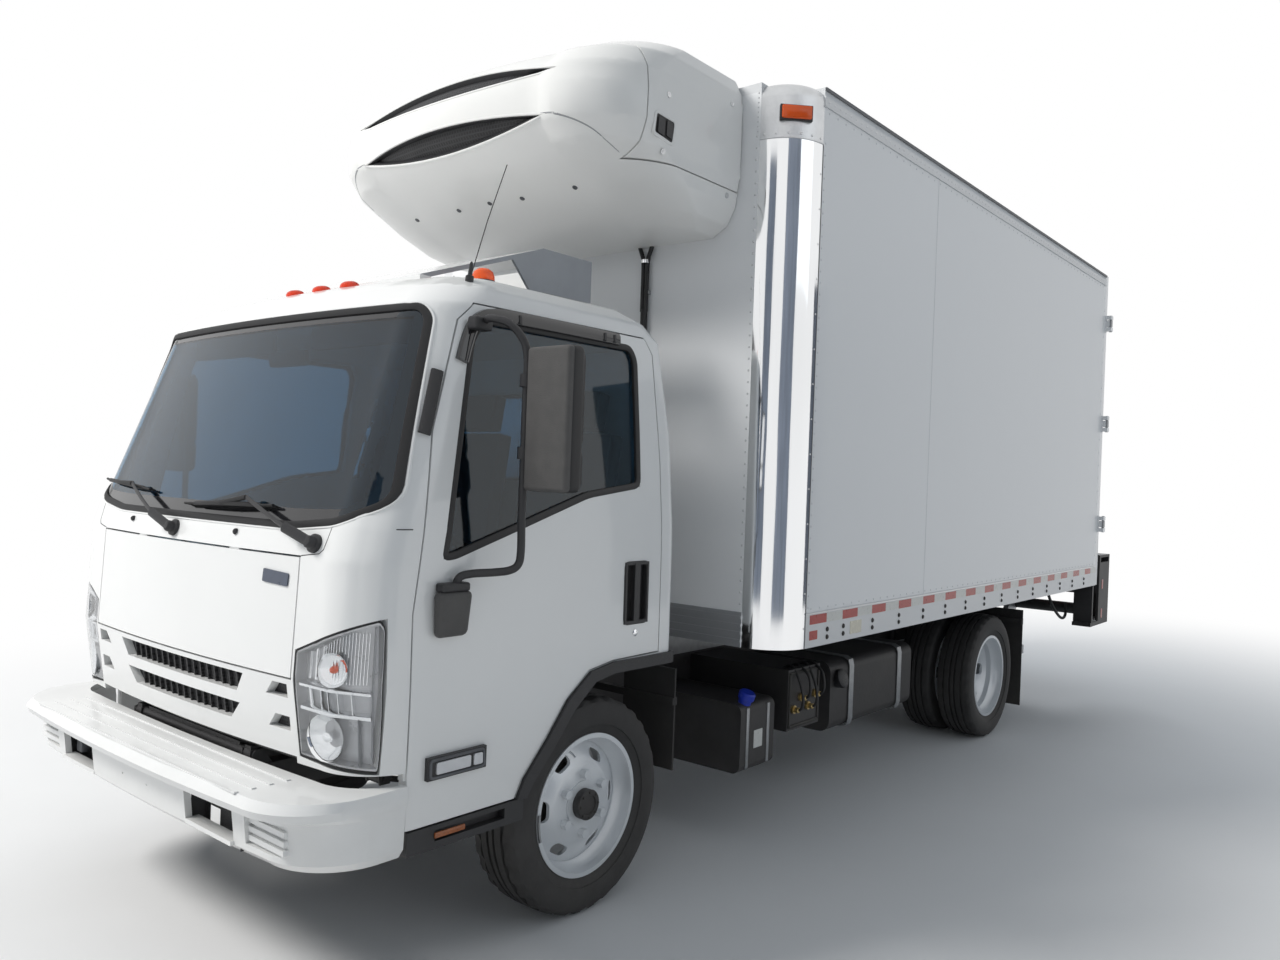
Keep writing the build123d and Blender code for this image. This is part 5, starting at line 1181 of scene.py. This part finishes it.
def lens_loop(half, tip, top, bottom, count=40):
    """The outline of a lens-shaped slot between two arcs."""
    loop = []
    for height, way in ((top, 1), (bottom, -1)):
        sag = abs(height - tip)
        radius = (half * half + sag * sag) / (2 * sag)
        for k in range(count):
            x = half - 2 * half * k / count
            rise = math.sqrt(max(0, radius ** 2 - x ** 2)) - radius + sag
            loop.append((way * x, tip + way * rise))
    return loop


def unit_details():
    """Edges of the slots, seams, screws and latches, and what shows through the slots and open covers."""
    slots = ((0.602, 3.047, 3.083, 2.983), (0.652, 3.221, 3.299, 3.195))
    for number, values in enumerate(slots):
        loop = lens_loop(*values)
        lip = band(loop, bead(-0.004, 0.006, -0.006, 0.003), unit_front)
        add(f"unit_slot_lip_{number}", lip, UNIT_WHITE, smooth=50)
        edge = band(loop, bead(-0.009, -0.003, -0.028, -0.002), unit_front)
        add(f"unit_slot_edge_{number}", edge, PLASTIC, smooth=50)
    path = smooth_path([(1.006, 3.052), (1.155, 3.041), (1.30, 3.012), (1.41, 2.972), (1.48, 2.918)])
    pair("unit_belly_seam", strip(path, 0.0035, -0.002, 0.0008, unit_corner), SEAM_GREY, smooth=50)
    belly = ((-0.538, 2.847), (-0.207, 2.842), (0.011, 2.842), (0.207, 2.838), (0.510, 2.842))
    sunk = [(-0.001, 0.012), (0.003, 0.011), (0.003, 0.006), (0.001, 0.0001)]
    add("unit_screws", screws(belly, unit_front, sunk), RAIL_DARK, smooth=40)
    loop = rounded([(0.235, 2.992), (0.352, 2.975), (0.362, 3.066), (0.240, 3.074)], 0.016)
    rim = band(loop, bead(-0.004, 0.008, -0.002, 0.005), unit_side)
    pair("unit_latch_rim", rim, UNIT_WHITE, "{}_unit_door", 40)
    pocket = plate(grown(loop, -0.003), unit_side, -0.002, 0.0015)
    pair("unit_latch_pocket", pocket, SEAL, "{}_unit_door")
    for number, (a, b) in enumerate(((0.252, 0.292), (0.306, 0.344))):
        paddle = rounded([(a, 2.998), (b, 2.992), (b, 3.056), (a, 3.060)], 0.006)
        shape = plate(paddle, unit_side, 0.0015, 0.007)
        pair(f"unit_latch_paddle_{number}", shape, PLASTIC, "{}_unit_door")
    cover = ((0.316, 3.163), (0.304, 2.936), (0.761, 3.268), (0.764, 2.874))
    round_head = [(-0.001, 0.013), (0.003, 0.012), (0.003, 0.005), (0.001, 0.0001)]
    pair("unit_cover_screws", screws(cover, unit_side, round_head), ALUMINIUM, "{}_unit_door", 40)
    fins = bricks((-0.58, 0.58), (0.045, 0.058), row(2.985, 0.014, 22, 0.004))
    add("condenser_fins", fins, ALUMINIUM)
    pipes = []
    for k in range(6):
        z = 2.93 + 0.05 * k
        route = [(0.655, 0.32, z), (0.668, 0.45, z + 0.005), (0.655, 0.62, z)]
        pipes.append(tube(smooth_path(route, 5), 0.007, 8))
    pair("unit_pipes", pipes, COPPER, smooth=60)


unit_details()


# Rear doors and lift gate

def on_rear(x, z, out):
    return Vector((x, BACK + out, z))


def rear_doors():
    """Gaskets, the lock rods' fittings, bolts, rivets and handles of the rear doors."""
    gasket = band(pane(0.02, 1.095, 1.165, 3.24, 0.012), bead(-0.006, 0.009, -0.004, 0.006), on_rear)
    pair("door_gasket", gasket, SEAL, "{}_box_door", 40)
    keepers = bricks((0.115, 0.185), (BACK, BACK + 0.034), [(1.100, 1.124), (3.242, 3.266)])
    pair("cam_keepers", keepers, GALVANISED, bevel=0.004)
    hasp = brick((0.41, 0.47), (BACK - 0.001, BACK + 0.012), (1.455, 1.535))
    pair("handle_hasp", hasp, GALVANISED, "{}_box_door", bevel=0.003)
    grip = tube([(0.30, BACK + 0.020, 1.495), (0.452, BACK + 0.020, 1.495)], 0.014, 12)
    pair("handle_grip", grip, PLASTIC, "{}_box_door", 50)
    for side, word in MIRRORED:
        body = f"{word}_box_door"
        hinges = [(side * x, BACK + 0.0142, 1.145 + 2.11 * share + d) for share in (0.12, 0.5, 0.88)
                  for x in (0.875, 0.95, 1.03) for d in (-0.015, 0.013)]
        add(f"hinge_bolts_{word}", nuts(hinges, Y, 0.007, 0.005), IRON, body)
        guides = [(side * x, BACK + 0.034, z) for z in (1.215, 1.5, 2.3, 3.19) for x in (0.128, 0.172)]
        add(f"guide_bolts_{word}", nuts(guides, Y, 0.006, 0.004), IRON, body)
        heads = [(side * (0.08 + 0.102 * k), BACK, z) for k in range(10) for z in (1.18, 3.22)]
        add(f"rear_rivets_{word}", dots(heads, Y, 0.005, 0.0025), ALUMINIUM, body, 60)


def rear_frame_pieces():
    """Tail lamps, sill tape, dock bumpers, steps and the lift gate's hoses and ribs."""
    bumper = brick((1.00, 1.048), (BACK + 0.016, BACK + 0.075), (0.985, 1.058))
    pair("dock_bumper", bumper, FLAP, bevel=0.006)
    for number, (x, look) in enumerate(((0.80, RED), (0.89, RED), (0.98, LENS_PLATE))):
        spot = ((x, BACK + 0.045, 0.877), Y, 28)
        dome = [(0.0, 0.036), (0.004, 0.036), (0.010, 0.030), (0.013, 0.014), (0.013, 0.0001)]
        pair(f"tail_lens_{number}", lathe(dome, *spot), look, smooth=50)
        rim = [(0.0, 0.040), (0.003, 0.040), (0.003, 0.036), (0.0, 0.036)]
        pair(f"tail_rim_{number}", lathe(rim, *spot), SEAL, smooth=40)
    sill = (BACK - 0.001, BACK + 0.0012)
    starts = (0.03, 0.33, 0.63, 0.93)
    red = bricks([(x, x + 0.15) for x in starts], sill, (1.075, 1.115))
    pair("sill_tape", red, TAPE_RED)
    pale = bricks([(x + 0.1505, min(1.2, x + 0.2995)) for x in starts], sill, (1.075, 1.115))
    pair("sill_tape_pale", pale, TAPE_WHITE)
    pair("step_treads", bricks((1.06, 1.18), row(5.72, 0.034, 12, 0.012), (0.600, 0.606)), GALVANISED)
    post = bricks((1.1885, 1.1915), (5.93, 5.965), [(0.62, 0.695), (0.86, 0.935)])
    pair("post_tape", post, TAPE_RED)
    loop = [(0.98, 5.20, 0.88), (0.985, 5.215, 0.84), (1.01, 5.26, 0.74), (1.03, 5.36, 0.66),
            (1.03, 5.46, 0.635), (1.02, 5.56, 0.65), (1.0, 5.63, 0.69), (0.99, 5.66, 0.74)]
    for side, word in MIRRORED:
        hose(f"gate_hose_{word}", [(side * x, y, z) for x, y, z in loop], 0.022)
    add("deck_ribs", bricks((-0.98, 0.98), row(5.72, 0.040, 9, 0.006), (1.0595, 1.0635)), GALVANISED)
    add("platform_ribs", bricks((-0.72, 0.72), row(4.60, 0.06, 13, 0.006), (0.3265, 0.3305)), GALVANISED)
    blank = brick((-0.16, 0.16), (BACK + 0.0165, BACK + 0.0195), (0.85, 0.93))
    add("rear_plate_blank", blank, TAPE_WHITE, bevel=0.002)


# Pieces along the frame

def strap(path, y):
    """A band of the fuel tank, from y on and 50 mm wide, that lies 4 mm proud of a path of x and z."""
    sections = []
    for x, z in path:
        a = x + (0.004 if x > 0.8 else 0)
        b = z + (0.004 if z > 0.5 else -0.004)
        sections.append([(x, y, z), (a, y, b), (a, y + 0.05, b), (x, y + 0.05, z)])
    return sweep(sections)


def tanks_and_boxes():
    """Caps, straps, lids, fittings and hoses of the fluid tank, valve box, fuel tank, battery and exhaust."""
    cap = [(-0.004, 0.030), (0.018, 0.030), (0.020, 0.038), (0.046, 0.038), (0.052, 0.031), (0.052, 0.0001)]
    add("fluid_cap", lathe(cap, (0.955, 1.00, 0.64), (0.35, 0, 1), 28), BLUE_CAP, smooth=40)
    ridges = bricks((0.982, 0.989), [(0.975, 0.995), (1.145, 1.165)], (0.35, 0.62))
    add("fluid_straps", ridges, GALVANISED, bevel=0.002)
    add("fluid_label", brick((0.9845, 0.9865), (1.04, 1.11), (0.43, 0.51)), TAPE_WHITE)
    spots = [(1.35 + 0.066 * k, 0.56 + 0.05 * (k % 2)) for k in range(4)]
    fitting = [(0.0, 0.020), (0.012, 0.020), (0.012, 0.013), (0.034, 0.013), (0.036, 0.009), (0.036, 0.0001)]
    add("valve_fittings", [lathe(fitting, (1.0, y, z), X, 12) for y, z in spots], BRASS, smooth=40)
    edges = bricks((0.996, 1.006), (1.31, 1.59), [(0.475, 0.487), (0.725, 0.737)])
    edges += bricks((0.996, 1.006), [(1.31, 1.322), (1.578, 1.590)], (0.475, 0.735))
    add("valve_frame", edges, IRON, bevel=0.002)
    for k, (y, z) in enumerate(spots):
        route = [(1.030, y, z), (1.050, y, z + 0.005), (1.058, y, z + 0.05), (1.04, y + 0.01, z + 0.11),
                 (1.00, y + 0.015, 0.745), (0.96, y + 0.02, 0.765), (0.93, y + 0.02, 0.745)]
        hose(f"valve_hose_{k}", route, 0.014)
    path = [(0.435, 0.702), (0.862, 0.702), (0.894, 0.688), (0.903, 0.655), (0.903, 0.375), (0.892, 0.340),
            (0.855, 0.327), (0.435, 0.327)]
    add("fuel_straps", [strap(path, y) for y in (2.10, 2.70)], GALVANISED, smooth=40)
    cap = [(0.0, 0.045), (0.014, 0.045), (0.022, 0.050), (0.040, 0.050), (0.046, 0.042), (0.046, 0.0001)]
    add("fuel_cap", lathe(cap, (0.895, 1.98, 0.60), (1, 0, 0.35)), PLASTIC, smooth=40)
    add("battery_lid", brick((-0.966, -0.43), (0.694, 1.186), (0.722, 0.745)), PLASTIC, bevel=0.006)
    cable = [(-0.60, 0.70, 0.70), (-0.59, 0.66, 0.68), (-0.55, 0.60, 0.655), (-0.50, 0.50, 0.65),
             (-0.45, 0.42, 0.67), (-0.43, 0.36, 0.70)]
    hose("battery_cable", cable, 0.018)
    bands = [collar(0.1495, 0.153, 0.012, (-0.65, y, 0.56), Y, 40) for y in (1.33, 1.52, 2.02, 2.22)]
    add("exhaust_bands", bands, GALVANISED, smooth=40)


def rails_and_axles():
    """Lines, bolts, dampers and spring bolts along the frame, and the rear axle's cover."""
    runs = []
    for k, z in enumerate((0.60, 0.625, 0.65)):
        points = [(0.408, y, z + 0.006 * math.sin(y * 3 + k)) for y in [1.1 + 0.25 * i for i in range(10)]]
        runs.append(tube(smooth_path(points, 2), 0.006, 8))
    pair("frame_lines", runs, SEAL, smooth=60)
    spots = [(0.425, 1.25 + 0.35 * k, z) for k in range(12) for z in (0.60, 0.72)]
    pair("frame_bolts", nuts(spots, X, 0.010, 0.008), IRON)
    damper = [(0.0, 0.014), (0.12, 0.014), (0.12, 0.026), (0.26, 0.026), (0.26, 0.012), (0.28, 0.012)]
    for word, place in (("front", (0.47, 0.16, 0.46)), ("rear", (0.44, 3.62, 0.42))):
        pair(f"damper_{word}", lathe(damper, place, Z, 16), CHASSIS, smooth=40)
    bolts = [tube([(x + d, y + a, 0.36), (x + d, y + a, top)], 0.008, 8)
             for x, y, top in ((0.395, 0, 0.49), (0.50, WHEELBASE, 0.56))
             for a in (-0.05, 0.05) for d in (-0.040, 0.040)]
    pair("u_bolts", bolts, IRON, smooth=40)
    cover = [(0.0, 0.14), (0.02, 0.145), (0.03, 0.13), (0.03, 0.0001)]
    add("axle_cover", lathe(cover, (0, 4.0, AXLE_Z), Y, 36), CHASSIS)
    turns = [math.pi / 5 * k for k in range(10)]
    places = [(0.128 * math.cos(a), 4.02, AXLE_Z + 0.128 * math.sin(a)) for a in turns]
    add("axle_cover_bolts", nuts(places, Y, 0.009, 0.008), IRON)


rear_doors()
rear_frame_pieces()
tanks_and_boxes()
rails_and_axles()


# Camera at the photograph's angle, and the studio

AMBIENT = 0.36
FLOOR_REACH = 60.0
FOCAL_PIXELS = 983.375
FRAME_PIXELS = 1280
SENSOR = 36.0


def place_camera():
    azimuth = math.radians(39.529)
    elevation = math.radians(-0.199)
    roll = math.radians(2.145)
    forward = Vector((-math.sin(azimuth) * math.cos(elevation), math.cos(azimuth) * math.cos(elevation),
                      math.sin(elevation)))
    right = forward.cross(Vector(Z)).normalized()
    up = right.cross(forward)
    turned_right = right * math.cos(roll) + up * math.sin(roll)
    turned_up = up * math.cos(roll) - right * math.sin(roll)
    data = bpy.data.cameras.new("camera")
    data.sensor_width = SENSOR
    data.lens = SENSOR * FOCAL_PIXELS / FRAME_PIXELS
    data.clip_end = 200.0
    camera = bpy.data.objects.new("camera", data)
    bpy.context.scene.collection.objects.link(camera)
    rotation = Matrix((turned_right, turned_up, -forward)).transposed().to_4x4()
    camera.matrix_world = Matrix.Translation((3.38544, -5.14738, 1.6394)) @ rotation
    bpy.context.scene.camera = camera


def area_light(name, place, target, size, power, colour):
    """A soft lamp. The glass shows no image of it."""
    data = bpy.data.lights.new(name, "AREA")
    data.shape = "RECTANGLE"
    data.size, data.size_y = size
    data.energy = power
    data.color = colour
    light = bpy.data.objects.new(name, data)
    bpy.context.scene.collection.objects.link(light)
    light.location = place
    light.rotation_euler = (Vector(target) - Vector(place)).to_track_quat("-Z", "Y").to_euler()
    light.visible_transmission = False
    return light


def sheet(name, corners, look):
    """A flat piece of the studio."""
    mesh = bpy.data.meshes.new(name)
    mesh.from_pydata([tuple(corner) for corner in corners], [], [(0, 1, 2, 3)])
    obj = bpy.data.objects.new(name, mesh)
    bpy.context.scene.collection.objects.link(obj)
    mesh.materials.append(look)
    return obj


def board(name, place, half, height, tone):
    """An upright matt board, facing the cab's corner, that shows in reflections only."""
    middle = Vector((*place, 0))
    toward = (Vector((1.1, -1.5, 0)) - middle).normalized()
    across = Vector((-toward.y, toward.x, 0)) * half
    low = Vector((0, 0, height[0]))
    high = Vector((0, 0, height[1]))
    corners = (middle - across + low, middle + across + low, middle + across + high, middle - across + high)
    obj = sheet(name, corners, surface(name, (tone * 0.8, tone * 0.9, tone * 1.1), 0.9, 0.2, 1.5))
    obj.visible_camera = False
    obj.visible_diffuse = False
    obj.visible_transmission = False
    obj.visible_shadow = False


def seen_rays(tree):
    """1 for camera, glossy and transmission rays."""
    rays = add_node(tree, "ShaderNodeLightPath").outputs
    either = maths(tree, "MAXIMUM", rays["Is Camera Ray"], rays["Is Glossy Ray"])
    return maths(tree, "MAXIMUM", either, rays["Is Transmission Ray"])


def whiten_floor():
    """Away from the truck the floor shows as white, like the surround."""
    tree = PALE_FLOOR.node_tree
    coord = add_node(tree, "ShaderNodeTexCoord").outputs["Object"]
    stretch = {"Vector": coord, "Scale": (1.0, 0.62, 1.0)}
    place = add_node(tree, "ShaderNodeMapping", stretch).outputs["Vector"]
    distance = add_node(tree, "ShaderNodeVectorMath", {0: place}, operation="LENGTH").outputs["Value"]
    fade = add_node(tree, "ShaderNodeMapRange", {"Value": distance, "From Min": 2.4, "From Max": 6.5},
                    interpolation_type="SMOOTHSTEP").outputs["Result"]
    white = add_node(tree, "ShaderNodeEmission").outputs["Emission"]
    share = maths(tree, "MULTIPLY", fade, seen_rays(tree))
    shader = tree.nodes["Principled BSDF"].outputs["BSDF"]
    blend = add_node(tree, "ShaderNodeMixShader", {"Fac": share, 1: shader, 2: white}).outputs["Shader"]
    set_inputs(tree, tree.nodes["Material Output"], {"Surface": blend})


def studio():
    """Pale floor that fades to white, a white surround, a soft key from the front left and two fills."""
    r = FLOOR_REACH
    sheet("floor", ((-r, -r, 0), (r, -r, 0), (r, r, 0), (-r, r, 0)), PALE_FLOOR)
    whiten_floor()
    world = bpy.data.worlds.new("world")
    bpy.context.scene.world = world
    world.use_nodes = True
    tree = world.node_tree
    seen = seen_rays(tree)
    tone = mixed(tree, seen, (0.84, 0.92, 1.0, 1), (1, 1, 1, 1))
    strength = ranged(tree, seen, AMBIENT, 1.0)
    set_inputs(tree, tree.nodes["Background"], {"Strength": strength, "Color": tone})
    key = area_light("key", (-5.5, -10.5, 10.0), (0.0, -1.8, 1.4), (4.5, 3.5), 1650, (1.0, 0.98, 0.95))
    key.visible_glossy = False
    area_light("side_fill", (12.0, -1.0, 7.0), (0.8, 0.3, 1.4), (9.0, 5.0), 60, (0.80, 0.90, 1.0))
    area_light("back_fill", (-3.0, 12.0, 8.0), (0, 2.0, 1.5), (7.0, 4.0), 420, (0.92, 0.96, 1.0))
    # Dark boards that only the bright metal mirrors, beside the camera and far along the side
    board("board_near", (6.4, -4.6), 1.8, (0.2, 5.5), 0.30)
    board("board_front", (1.9, -9.0), 1.2, (0.2, 5.5), 0.34)
    board("board_far", (6.4, 5.6), 1.2, (0.0, 4.2), 0.16)


def smooth_cad():
    """Join the loose edges of the CAD nodes' facets and shade the curved ones smooth."""
    group = bpy.data.node_groups.new("smooth_cad", "GeometryNodeTree")
    for way in ("INPUT", "OUTPUT"):
        group.interface.new_socket("Geometry", in_out=way, socket_type="NodeSocketGeometry")
    source = add_node(group, "NodeGroupInput").outputs["Geometry"]
    merged = add_node(group, "GeometryNodeMergeByDistance", {"Geometry": source, "Distance": 0.00003})
    smooth = add_node(group, "GeometryNodeSetShadeSmooth", {"Geometry": merged.outputs["Geometry"]},
                      domain="FACE")
    angle = add_node(group, "GeometryNodeInputMeshEdgeAngle").outputs["Unsigned Angle"]
    below = add_node(group, "FunctionNodeCompare", {"A": angle, "B": math.radians(33)}, data_type="FLOAT",
                     operation="LESS_THAN")
    edges = add_node(group, "GeometryNodeSetShadeSmooth", {"Geometry": smooth.outputs["Geometry"],
                                                           "Shade Smooth": below.outputs["Result"]},
                     domain="EDGE")
    add_node(group, "NodeGroupOutput", {"Geometry": edges.outputs["Geometry"]})
    for obj in NODES.values():
        obj.modifiers.new("smooth_cad", "NODES").node_group = group


smooth_cad()
place_camera()
studio()
bpy.context.scene.view_settings.view_transform = "Standard"
